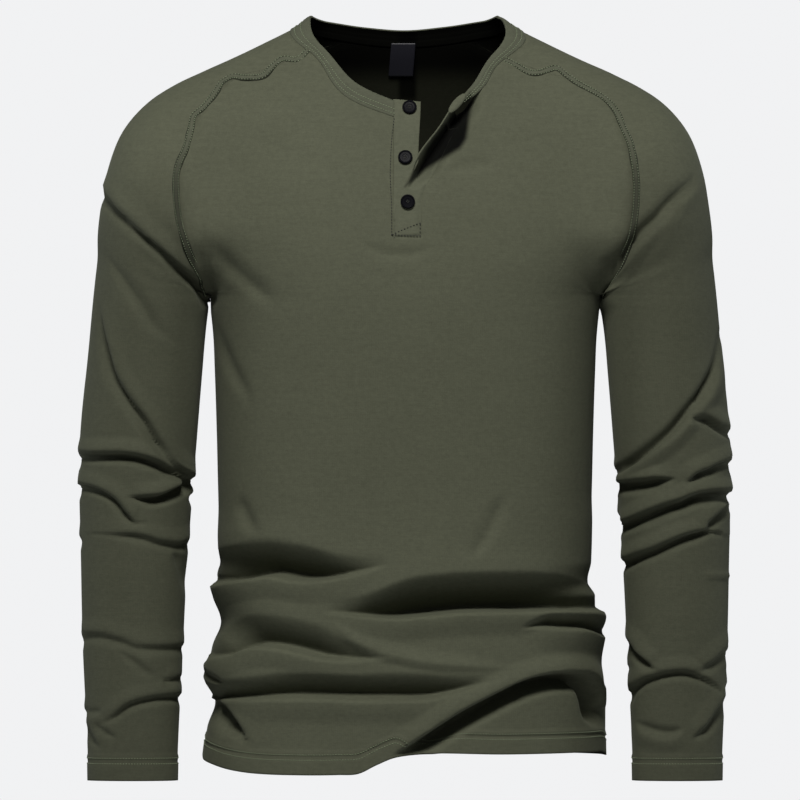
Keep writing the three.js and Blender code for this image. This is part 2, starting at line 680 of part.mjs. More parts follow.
// Sleeve: a tube up to the underarm, then open between the two raglan seams up to the neck.
// It is worked out on +X and mirrored for the wearer's right arm.
function sleeveSheet(side) {
  const sign = side === "right" ? -1 : 1;
  const flip = (v) => new THREE.Vector3(sign * v.x, v.y, v.z);
  const upper = GRID.upper;
  const lower = SLEEVE_ROWS.length;
  const columns = GRID.sleeve;
  const middleAt = (z) => atHeight(SLEEVE.slice(5), ["x", "y"], z);
  const start = along(SLEEVE, ["z"], 6).z;
  const span = { from: 6 - (ARMPIT_Z - start) / 49, to: 1.35 };
  const middle = (v) => along(SLEEVE, ["x", "y", "z"], mix(span.from, span.to, v));
  const frame = (v) => {
    const here = middle(v);
    const a = middle(Math.max(v - 0.05, 0));
    const b = middle(Math.min(v + 0.05, 1));
    const run = new THREE.Vector3(b.x - a.x, 0, b.z - a.z).normalize();
    const out = new THREE.Vector3(run.z, 0, -run.x);
    return { here: new THREE.Vector3(here.x, here.y, here.z), run, out };
  };
  const fan = (point, v, half) => {
    const { here, run, out } = frame(v);
    const ray = point.clone().sub(here);
    const [o, y, r] = [ray.dot(out), ray.y, ray.dot(run)];
    let turn = Math.atan2(y, o);
    if (half < 0 && turn > 0) turn -= TURN;
    if (half > 0 && turn < 0) turn += TURN;
    return [turn, r / Math.hypot(o, y)];
  };
  const ring = (turn, z) => {
    const centre = middleAt(z);
    const from = new THREE.Vector3(centre.x, centre.y, z);
    return leave(sleeveField, from, new THREE.Vector3(Math.cos(turn), Math.sin(turn), 0));
  };
  const seams = RAGLANS[side];
  const under = flip(seams.front[0]);
  const fromPoint = (t) => mix(-Math.PI, Math.PI, t);
  const neckFrom = FRONT_MARK[side];
  const neckTo = BACK_MARK[side];
  const neckAt = (u) => {
    const spot = neckSeam(mix(neckFrom, neckTo, u));
    return flip(bodyPoint(spot.turn, spot.z, []).point);
  };
  const bottomPairs = [];
  for (let i = 0; i <= columns; i += 1) {
    const turn = fromPoint(i / columns);
    const half = i < columns / 2 ? -1 : 1;
    const at = i === 0 || i === columns ? under : ring(turn, ARMPIT_Z);
    bottomPairs.push(fan(at, 0, Math.abs(turn) < 1 ? 0 : half));
  }
  const topPairs = [];
  for (let i = 0; i <= columns; i += 1) topPairs.push(fan(neckAt(i / columns), 1, 0));
  const seamPairs = (points, half) => listed(points.map((p, row) => fan(flip(p), row / upper, half)));
  const place = patch(
    listed(bottomPairs),
    listed(topPairs),
    seamPairs(seams.front, -1),
    seamPairs(seams.back, 1),
    [1, LEAN_FADE],
  );
  const finished = (field, point) => {
    const way = outward(field, point);
    const real = flip(point);
    const pieces = point.z > -235 ? ["body", "sleeve"] : ["sleeve"];
    return { point: real.addScaledVector(flip(way), -foldDepth(real, pieces)), way: flip(way) };
  };
  return new Sheet().fill(
    columns,
    lower + upper,
    (i, j) => {
      const turn = fromPoint(i / columns);
      if (j < lower) return finished(sleeveField, ring(turn, SLEEVE_ROWS[j]));
      const row = j - lower;
      const edge = i === 0 || i === columns;
      if (row === 0 && edge) return { point: flip(under), way: new THREE.Vector3(-sign, 0, 0) };
      if (edge) return seamPoint((i === 0 ? seams.front : seams.back)[row]);
      if (row === upper) return finished(wholeField, neckAt(i / columns));
      const v = row / upper;
      const [around, lean] = place(i / columns, v);
      const { here, run, out } = frame(v);
      const aim = out.clone().multiplyScalar(Math.cos(around));
      aim.y += Math.sin(around);
      aim.addScaledVector(run, lean);
      return finished(row === 0 ? sleeveField : wholeField, leave(row === 0 ? sleeveField : wholeField, here, aim));
    },
    () => false,
    (i, j) => (i === columns && j <= lower ? 0 : null),
  );
}

// Neck binding: a folded strip between the neck seam and the neck's free edge, divided where the panels are
function bindingSheet() {
  const across = 2;
  const stops = [
    { to: FRONT_MARK.right, columns: GRID.frontLeft },
    { to: BACK_MARK.right, columns: GRID.sleeve },
    { to: BACK_MARK.left, columns: GRID.back },
    { to: FRONT_MARK.left, columns: GRID.sleeve },
    { to: NECK_ROWS, columns: GRID.frontRight },
  ];
  const places = [0];
  for (const { to, columns } of stops) {
    const from = places[places.length - 1];
    for (let i = 1; i <= columns; i += 1) places.push(mix(from, to, i / columns));
  }
  return new Sheet().fill(places.length - 1, across, (i, j) => {
    const [seam, edge] = [neckSeam(places[i]), neckEdge(places[i])];
    const t = j / across;
    const flap = places[i] > FRONT_MARK.left ? ["body", "flap"] : ["body"];
    const puff = j === 1 ? BINDING_PUFF : 0;
    return bodyPoint(mix(seam.turn, edge.turn, t), mix(seam.z, edge.z, t), flap, puff);
  });
}

// A strip of the placket between two edges, given as x and z at a place from 0 at the foot to 1 at the top
function stripSheet(left, right, columns, rows, pieces, lift) {
  return new Sheet().fill(columns, rows, (i, j) => {
    const t = j / rows;
    const [a, b] = [left(t), right(t)];
    const u = i / columns;
    const [x, z] = [mix(a.x, b.x, u), mix(a.z, b.z, u)];
    return bodyPoint(turnAt(x, z), z, pieces, lift(u, t));
  });
}
const listedEdge = (rows) => (t) => along(rows, ["x", "z"], t * (rows.length - 1));
const STAND = { top: -73.5, foot: SLOT_BOTTOM_Z + SEAM_GAP, right: SLOT_RIGHT_X - STAND_MARGIN };
const standSheet = () =>
  stripSheet(
    (t) => ({ x: SLOT_LEFT_X + SEAM_GAP, z: mix(STAND.foot, STAND.top, t) }),
    (t) => ({ x: STAND.right + smooth(0.6, 1, t) * 2, z: mix(STAND.foot, STAND.top - 1, t) }),
    3, 12, ["body"], () => 0,
  );
const flapSheet = () =>
  stripSheet(
    listedEdge(FLAP_EDGE),
    (t) => {
      const spot = listedEdge(FLAP_SEAM)(t);
      return { x: spot.x - SEAM_GAP, z: Math.max(spot.z, STAND.foot) - smooth(0.8, 1, t) * SEAM_GAP };
    },
    4, 14, ["body", "flap"],
    (u, t) => (WALL + LAP) * (u < 1 ? 1 : 1 - smooth(0.35, 0.6, t)),
  );

// Button: a dished disc with a raised rim, turned on its own axis and set on the cloth
function buttonMesh(x, z, lift, pieces, material, name) {
  const { radius, thick, rim, dish, chamfer, sides } = BUTTON;
  const profile = [
    [0, 0],
    [radius - chamfer, 0],
    [radius, chamfer],
    [radius, thick - chamfer],
    [radius - chamfer, thick],
    [radius - rim, thick],
    [radius - rim - chamfer, thick - dish],
    [0, thick - dish],
  ].map(([r, h]) => new THREE.Vector2(r, h));
  const mesh = new THREE.Mesh(new THREE.LatheGeometry(profile, sides), material);
  const seat = bodyPoint(turnAt(x, z), z, pieces, lift);
  mesh.quaternion.setFromUnitVectors(new THREE.Vector3(0, 1, 0), seat.way);
  mesh.position.copy(seat.point);
  mesh.name = name;
  return mesh;
}

// Neck label: a small flap that hangs inside the back of the neck
function labelSheet() {
  const inset = WALL + SEAM_GAP;
  return new Sheet().fill(3, 4, (i, j) => {
    const t = j / 4;
    const x = mix(LABEL.footX, LABEL.topX, t) + (i / 3 - 0.5) * LABEL.width;
    const z = mix(LABEL.footZ, LABEL.topZ, t);
    return bodyPoint(turnAt(x, z, "back"), z, [], -inset - BINDING_PUFF * 0.5);
  });
}

const jersey = new THREE.MeshStandardMaterial({ color: 0x4b4e3c, roughness: 0.85, metalness: 0 });
const trim = new THREE.MeshStandardMaterial({ color: 0x44473a, roughness: 0.85, metalness: 0 });
const shell = new THREE.MeshStandardMaterial({ color: 0x0b0b0e, roughness: 0.25, metalness: 0 });
const satin = new THREE.MeshStandardMaterial({ color: 0x15151c, roughness: 0.6, metalness: 0 });

const shirt = new THREE.Group();
function piece(name, sheet, material, thick = WALL) {
  const mesh = new THREE.Mesh(sheet.trim().wall(thick), material);
  mesh.name = name;
  shirt.add(mesh);
}
piece("front", frontSheet(), jersey);
piece("back", backSheet(), jersey);
piece("sleeve_right", sleeveSheet("right"), jersey);
piece("sleeve_left", sleeveSheet("left"), jersey);
piece("neck_binding", bindingSheet(), trim);
piece("placket_under", standSheet(), trim);
piece("placket_over", flapSheet(), trim);
piece("neck_label", labelSheet(), satin, LABEL.thick);

shirt.add(buttonMesh(4, -82, SEAM_GAP, ["body"], shell, "button_top"));
shirt.add(buttonMesh(0.2, -127, SEAM_GAP, ["body"], shell, "button_middle"));
shirt.add(buttonMesh(2.4, -167, WALL + LAP + SEAM_GAP, ["body", "flap"], shell, "button_bottom"));

export default shirt;
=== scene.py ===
# A long-sleeved raglan henley shirt in smooth army green jersey, filled out as when worn.
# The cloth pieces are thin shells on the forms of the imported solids, with their folds, seams and stitches.
import math

import bmesh
import bpy
import numpy as np
from mathutils import Matrix, Vector


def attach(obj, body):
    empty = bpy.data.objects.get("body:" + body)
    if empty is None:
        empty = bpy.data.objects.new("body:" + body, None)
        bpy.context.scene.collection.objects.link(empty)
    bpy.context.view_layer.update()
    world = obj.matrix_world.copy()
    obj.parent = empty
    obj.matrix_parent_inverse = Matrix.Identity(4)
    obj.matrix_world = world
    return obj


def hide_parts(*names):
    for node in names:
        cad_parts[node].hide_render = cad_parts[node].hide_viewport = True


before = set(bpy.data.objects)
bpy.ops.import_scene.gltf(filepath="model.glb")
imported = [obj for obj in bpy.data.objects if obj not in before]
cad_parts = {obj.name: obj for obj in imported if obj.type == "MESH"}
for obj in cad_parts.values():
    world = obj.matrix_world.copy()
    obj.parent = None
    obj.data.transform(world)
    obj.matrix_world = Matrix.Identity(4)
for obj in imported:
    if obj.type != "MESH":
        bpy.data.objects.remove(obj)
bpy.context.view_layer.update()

MM = 0.001
WELD = 0.00002

# Studio: a pale floor far below, a white surround, a softbox above and before the shirt, and a long lens
# level with its middle, as in the photograph.
PHOTO_MIDDLE = (-4.5, -343.8)
PHOTO_SPAN = 720
LENS = {"distance": 12000, "sensor": 36, "plane_y": -30, "clip_end": 40}
FLOOR = {"z": -2.2, "radius": 7.0, "colour": (0.85, 0.86, 0.88, 1), "rough": 0.9}
SURROUND = {"seen": (0.88, 0.885, 0.895), "light": (0.85, 0.93, 1.0), "strength": 0.028}
# name, place, width and height, power, tint, and whether the pieces mirror it
LIGHTS = [
    ("key", (-0.2, -2.3, 1.9), (1.1, 0.9), 88, (1, 0.985, 0.96), True),
    ("front_fill", (0.3, -4.2, -0.2), (1.6, 1.6), 4, (1, 1, 1), False),
    ("left_edge", (-2.4, 0.5, 0.1), (0.8, 2.0), 14, (0.95, 0.98, 1), True),
    ("right_edge", (2.4, 0.5, 0.1), (0.8, 2.0), 14, (0.95, 0.98, 1), True),
]
LIGHTS_AIM = (0, 0, -0.35)


def linked(name, data):
    """A new object in the scene"""
    thing = bpy.data.objects.new(name, data)
    bpy.context.collection.objects.link(thing)
    return thing


def finished(bm, name):
    """A new mesh from a bmesh, which it frees"""
    mesh = bpy.data.meshes.new(name)
    bm.to_mesh(mesh)
    bm.free()
    return mesh


def look_at(thing, spot):
    thing.rotation_euler = (Vector(spot) - thing.location).to_track_quat("-Z", "Y").to_euler()


camera = linked("camera", bpy.data.cameras.new("camera"))
camera.data.sensor_width = LENS["sensor"]
camera.data.lens = LENS["sensor"] * LENS["distance"] / PHOTO_SPAN
camera.location = (PHOTO_MIDDLE[0] * MM, (LENS["plane_y"] - LENS["distance"]) * MM, PHOTO_MIDDLE[1] * MM)
look_at(camera, (PHOTO_MIDDLE[0] * MM, 0, PHOTO_MIDDLE[1] * MM))
camera.data.clip_end = LENS["clip_end"]
bpy.context.scene.camera = camera
bpy.context.scene.view_settings.view_transform = "Standard"

for name, place, (wide, high), power, tint, mirrored in LIGHTS:
    light = bpy.data.lights.new(name, "AREA")
    light.shape = "RECTANGLE"
    light.size, light.size_y = wide, high
    light.energy = power
    light.color = tint
    lamp = linked(name, light)
    lamp.location = place
    lamp.visible_glossy = mirrored
    look_at(lamp, LIGHTS_AIM)

world = bpy.data.worlds.new("surround")
bpy.context.scene.world = world
world.use_nodes = True
nodes, links = world.node_tree.nodes, world.node_tree.links
light = nodes["Background"]
light.inputs["Color"].default_value = (*SURROUND["light"], 1)
light.inputs["Strength"].default_value = SURROUND["strength"]
seen = nodes.new("ShaderNodeBackground")
seen.inputs["Color"].default_value = (*SURROUND["seen"], 1)
choice = nodes.new("ShaderNodeMixShader")
links.new(nodes.new("ShaderNodeLightPath").outputs["Is Camera Ray"], choice.inputs["Fac"])
links.new(light.outputs[0], choice.inputs[1])
links.new(seen.outputs[0], choice.inputs[2])
links.new(choice.outputs[0], nodes["World Output"].inputs["Surface"])


# Shader maths: a socket that takes part in Python sums, and one function for every other node
class Socket:
    def __init__(self, tree, socket):
        self.tree = tree
        self.socket = socket

    def math(self, operation, *values):
        return shader_node(self.tree, "ShaderNodeMath", {"operation": operation}, dict(enumerate(values)))

    def __add__(self, other):
        return self.math("ADD", self, other)

    def __sub__(self, other):
        return self.math("SUBTRACT", self, other)

    def __mul__(self, other):
        return self.math("MULTIPLY", self, other)


def shader_node(tree, kind, settings=None, values=None, output=0):
    node = tree.nodes.new(kind)
    for key, value in (settings or {}).items():
        if key == "stops":
            while len(node.color_ramp.elements) < len(value):
                node.color_ramp.elements.new(0.5)
            for element, (place, colour) in zip(node.color_ramp.elements, value):
                element.position = place
                element.color = colour
        else:
            setattr(node, key, value)
    for key, value in (values or {}).items():
        if isinstance(value, Socket):
            tree.links.new(value.socket, node.inputs[key])
        else:
            node.inputs[key].default_value = value
    return Socket(tree, node.outputs[output])


def new_material(name, values):
    material = bpy.data.materials.new(name)
    material.use_nodes = True
    tree = material.node_tree
    shader = tree.nodes["Principled BSDF"]
    for key, value in values.items():
        shader.inputs[key].default_value = value
    return material, tree, shader


def object_place(tree):
    return shader_node(tree, "ShaderNodeTexCoord", output=3)


def noise(tree, place, scale, detail):
    return shader_node(tree, "ShaderNodeTexNoise", None, {"Vector": place, "Scale": scale, "Detail": detail})


def mix_colours(tree, factor, one, two, blend="MIX"):
    values = {"Factor": factor, 6: one, 7: two}
    return shader_node(tree, "ShaderNodeMix", {"data_type": "RGBA", "blend_type": blend}, values, 2)


def darkened(tree, paint, share):
    return mix_colours(tree, 1.0, paint, share, "MULTIPLY")


bm = bmesh.new()
bmesh.ops.create_circle(bm, cap_ends=True, segments=96, radius=FLOOR["radius"],
                        matrix=Matrix.Translation((0, 0, FLOOR["z"])))
floor = linked("floor", finished(bm, "floor"))
floor_paint = new_material("pale_floor", {"Base Color": FLOOR["colour"], "Roughness": FLOOR["rough"]})[0]
floor.data.materials.append(floor_paint)

# The filled-out form: a body and two sleeve tubes with the sizes of the solids, blended at the yoke.
# All cloth pieces are laid on it. Sizes are in millimetres until a mesh is made.
SQUARENESS = 2.4
ARMPIT_Z = -251
TURN = 2 * math.pi
# height, half width, depth before and depth behind the side line
BODY = np.array([
    (40, 74, 36, 56), (0, 79, 46, 64), (-30, 89, 58, 73), (-60, 112, 72, 88), (-95, 140, 88, 103),
    (-150, 184, 106, 116), (-205, 198, 116, 119), (-251, 177, 120, 117), (-308, 172, 118, 110),
    (-410, 169, 112, 99), (-490, 168, 112, 101), (-545, 172, 114, 106), (-600, 179, 116, 111),
    (-660, 181, 116, 112), (-720, 182, 116, 112),
], float)
# the sleeve's middle from neck to cuff as x, y and z, and its half widths across and in depth
SLEEVE = np.array([
    (40, 4, -40, 38, 38), (72, 4, -44, 42.5, 42), (135, 2, -81, 50, 52), (191, 0, -113, 54.5, 59),
    (211.5, -6, -141, 55, 64), (221, -9, -205, 54.5, 66), (229, -9, -254, 52, 63), (234, -8, -308, 52, 60),
    (241, -12, -389, 52.5, 54), (244, -18, -488, 48, 46), (245, -26, -569, 45, 38), (245, -32, -663, 40.5, 29),
    (245, -35, -740, 40, 27),
], float)
# the search for the form along a line, by steps and then by halving the last one, the moves that settle a point
# on it, and the reach for its slope
MARCH = {"steps": 200, "end": 500, "share": 0.7, "least": 0.4, "most": 9, "halvings": 20, "settle": 4}
NUDGE = np.eye(3) * 0.5
BLEND = {"neck": 30, "yoke": 92, "underarm": 8, "from": -246, "to": -195, "neck_from": -105, "neck_to": -45}


def smooth(low, high, value):
    t = np.clip((value - low) / (high - low), 0, 1)
    return t * t * (3 - 2 * t)


def mix(a, b, t):
    return a + (b - a) * t


def along(rows, place):
    """A smooth curve through rows of numbers, read at places counted in rows"""
    rows = np.asarray(rows, float)
    place = np.atleast_1d(np.asarray(place, float))
    last = len(rows) - 1
    index = np.clip(np.floor(place).astype(int), 0, last - 1)
    t = np.clip(place - index, 0, 1).reshape(-1, *[1] * (rows.ndim - 1))
    a, b, c, d = (rows[np.clip(index + k, 0, last)] for k in (-1, 0, 1, 2))
    rise, fall = (c - a) / 2, (d - b) / 2
    return b + t * (rise + t * (3 * (c - b) - 2 * rise - fall + t * (2 * (b - c) + rise + fall)))


def share_along(rows, t):
    """The curve through rows of numbers, read at shares of its way"""
    return along(rows, t * (len(rows) - 1))


def finely(rows, times):
    """The curve through rows of numbers, with each step between two rows divided"""
    return along(rows, np.linspace(0, len(rows) - 1, (len(rows) - 1) * times + 1))


def row_place(levels, z):
    """Where a height lies in a falling list of levels, counted in rows"""
    index = np.clip(np.searchsorted(-levels, -z) - 1, 0, len(levels) - 2)
    return index + np.clip((z - levels[index]) / (levels[index + 1] - levels[index]), 0, 1)


def at_height(rows, z):
    """Rows that begin with their heights, from the top down, read at other heights"""
    rows = np.asarray(rows, float)
    return along(rows[:, 1:], row_place(rows[:, 0], z))


def unit(rows):
    return rows / np.linalg.norm(rows, axis=1, keepdims=True)


def lengths(points):
    """Distances from the first row of points, along the rows"""
    steps = np.linalg.norm(np.diff(points, axis=0), axis=-1)
    return np.concatenate([0 * steps[:1], np.cumsum(steps, axis=0)])


def read_at(goal, length, rows):
    """Rows of numbers at known lengths, read at other lengths"""
    return np.stack([np.interp(goal, length, column) for column in rows.T], -1)


CENTRES = finely(SLEEVE, 4)


def body_field(p):
    half, front, back = at_height(BODY, p[:, 2]).T
    depth = np.where(p[:, 1] < 0, front, back)
    reach = (np.abs(p[:, 0] / half) ** SQUARENESS + np.abs(p[:, 1] / depth) ** SQUARENESS) ** (1 / SQUARENESS)
    return (reach - 1) * np.minimum(half, depth)


def sleeve_field(p):
    a, b = CENTRES[None, :-1], CENTRES[None, 1:]
    run = b[..., :3] - a[..., :3]
    q = np.abs(p[:, None]) * [1, 0, 0] + p[:, None] * [0, 1, 1] - a[..., :3]
    t = np.clip((q * run).sum(-1) / (run * run).sum(-1), 0, 1)
    across, deep = mix(a[..., 3], b[..., 3], t), mix(a[..., 4], b[..., 4], t)
    level = np.hypot(q[..., 0] - t * run[..., 0], q[..., 2] - t * run[..., 2]) / across
    side = (q[..., 1] - t * run[..., 1]) / deep
    return ((np.hypot(level, side) - 1) * np.minimum(across, deep)).min(1)


def whole_field(p):
    body, sleeve = body_field(p), sleeve_field(p)
    yoke = mix(BLEND["yoke"], BLEND["neck"], smooth(BLEND["neck_from"], BLEND["neck_to"], p[:, 2]))
    reach = mix(BLEND["underarm"], yoke, smooth(BLEND["from"], BLEND["to"], p[:, 2]))
    share = np.maximum(reach - np.abs(body - sleeve), 0) / reach
    return np.minimum(body, sleeve) - share ** 3 * reach / 6


def leave(field, start, aim):
    """Where straight lines from inside leave the form"""
    start, aim = np.broadcast_arrays(np.atleast_2d(start).astype(float), np.atleast_2d(aim).astype(float))
    aim = unit(aim)
    near = np.zeros(len(start))
    far = np.zeros(len(start))
    now = field(start)
    for _ in range(MARCH["steps"]):
        inside = (now < 0) & (far < MARCH["end"])
        if not inside.any():
            break
        near[inside] = far[inside]
        far[inside] += np.clip(-now[inside] * MARCH["share"], MARCH["least"], MARCH["most"])
        now[inside] = field(start[inside] + aim[inside] * far[inside, None])
    for _ in range(MARCH["halvings"]):
        middle = (near + far) / 2
        inside = field(start + aim * middle[:, None]) < 0
        near, far = np.where(inside, middle, near), np.where(inside, far, middle)
    return start + aim * far[:, None]


def slope_of(field, p):
    return np.stack([field(p + step) - field(p - step) for step in NUDGE], 1)


def outward(field, p):
    """The ways out of the form at points on it"""
    return unit(slope_of(field, p))


def body_points(turn, z):
    """Points of the body and yoke by their turn about the upright axis and their height, with the way out"""
    turn, z = np.broadcast_arrays(np.atleast_1d(turn), np.atleast_1d(z))
    start = np.stack([0 * z, 0 * z, z], 1)
    aim = np.stack([np.cos(turn), np.sin(turn), 0 * z], 1)
    high = z > ARMPIT_Z + 0.5
    points, ways = np.zeros((len(z), 3)), np.zeros((len(z), 3))
    for field, chosen in ((whole_field, high), (body_field, ~high)):
        if chosen.any():
            points[chosen] = leave(field, start[chosen], aim[chosen])
            ways[chosen] = outward(field, points[chosen])
    return points, ways


def on_body(spots):
    """A grid of turns and heights on the body and yoke, as points and ways out"""
    points, ways = body_points(spots[..., 0].ravel(), spots[..., 1].ravel())
    return points.reshape(*spots.shape[:2], 3), ways.reshape(*spots.shape[:2], 3)


def seen_points(x, z, face="front"):
    """Points of the form by their x and z, seen from the front or from behind"""
    return leave(whole_field, np.stack([x, 0 * x, z], 1), [[0, -1 if face == "front" else 1, 0]])


def turn_at(x, z, face="front"):
    x, z = np.broadcast_arrays(np.atleast_1d(x).astype(float), np.atleast_1d(z).astype(float))
    p = seen_points(x, z, face)
    return np.arctan2(p[:, 1], p[:, 0]) % TURN


def seen_grid(x, z, face="front"):
    """A grid of x and z on the form, as points and ways out"""
    return on_body(np.stack([turn_at(x.ravel(), z.ravel(), face).reshape(x.shape), z], -1))


# Seam and neck curves, as in the cut of the shirt. Front and back places are x and z seen from the front,
# and a row with a turn in degrees lies at that turn about the upright axis.
FRONT_RAGLAN = {
    -1: [(190, -224), (198, -200), (203, -172), (204, -142), (198, -117), (189, -90), (172, -71), (156, -55),
         (142, -52), (126, -49), (112, -39), (98, -38)],
    1: [(192, -228), (200, -203), (205, -172), (206, -144), (201, -117), (190, -87), (176, -70), (157, -58),
        (141, -47), (125, -49), (113, -48), (101, -43)],
}
BACK_RAGLAN = [(191, -224), (198, -196), (198, -160), (190, -124), (170, -92), (140, -66), (108, -46), (82, -31)]
NECK_SEAM = [("at", -10, -89), ("at", -53, -70), ("at", -85.5, -29.5), ("turn", 178, -7), ("turn", 150, -14),
             ("turn", 120, -20), ("turn", 90, -22.5), ("turn", 60, -20), ("turn", 30, -14), ("turn", 2, -8.5),
             ("at", 89, -36.5), ("at", 71, -61), ("at", 55, -76)]
NECK_EDGE = [("at", -10, -75.6), ("at", -45, -58.5), ("at", -75, -25), ("turn", 184, 1.5), ("turn", 150, -1.5),
             ("turn", 120, -6), ("turn", 90, -8.5), ("turn", 60, -5.5), ("turn", 30, -1), ("turn", -1, 1),
             ("at", 80, -31.5), ("at", 61, -60), ("at", 41, -82)]
FRONT_MARK = {-1: 2, 1: 10}
BACK_MARK = {-1: 4.55, 1: 7.45}
UPPER_ROWS = 12
SEAM_CROWDING = 1.35


def neck_curve(rows):
    """Turns and heights round the neck, read at places counted in rows"""
    made = []
    for kind, where, z in rows:
        if kind == "turn":
            made.append((math.radians(where), z))
        else:
            turn = turn_at(where, z)[0]
            made.append((turn - (TURN if where > 0 else 0), z))
    return lambda place: along(made, place)


neck_seam = neck_curve(NECK_SEAM)
neck_edge = neck_curve(NECK_EDGE)
NECK_ROWS = len(NECK_SEAM) - 1


def raglan(side, face):
    """A raglan seam as points in space from the underarm to the neck, closer together at the underarm"""
    spots = FRONT_RAGLAN[side] if face == "front" else BACK_RAGLAN
    mark = (FRONT_MARK if face == "front" else BACK_MARK)[side]
    turn, z = neck_seam(mark)[0]
    top = body_points(turn, z)[0][0]
    under = at_height(BODY, ARMPIT_Z)[0, 0]
    spots = finely([(under, ARMPIT_Z), *spots, (side * top[0], z)], 6)
    seen = seen_points(side * spots[:, 0], spots[:, 1], face)
    seen[0] = (side * under, 0, ARMPIT_Z)
    seen[-1] = top
    length = lengths(seen)
    return read_at(length[-1] * (np.arange(UPPER_ROWS + 1) / UPPER_ROWS) ** SEAM_CROWDING, length, seen)


RAGLANS = {(side, face): raglan(side, face) for side in (-1, 1) for face in ("front", "back")}


def listed(pairs):
    """A border curve through listed pairs of numbers"""
    pairs = np.asarray(pairs, float)
    return lambda t: read_at(t * (len(pairs) - 1), np.arange(len(pairs)), pairs)


def turned(points, low):
    """Turns and heights of points, with no turn below a low one"""
    turn = np.arctan2(points[:, 1], points[:, 0])
    return np.stack([np.where(turn < low, turn + TURN, turn), points[:, 2]], 1)


def patch(bottom, top, left, right, fade=(1, 1)):
    """A patch spread between four border curves that give pairs of numbers"""
    fade = np.array(fade, float)

    def at(u, v):
        sides = (1 - u) ** fade * (left(v) - mix(bottom(0), top(0), v))
        sides = sides + u ** fade * (right(v) - mix(bottom(1), top(1), v))
        return mix(bottom(u), top(u), v) + sides

    return at


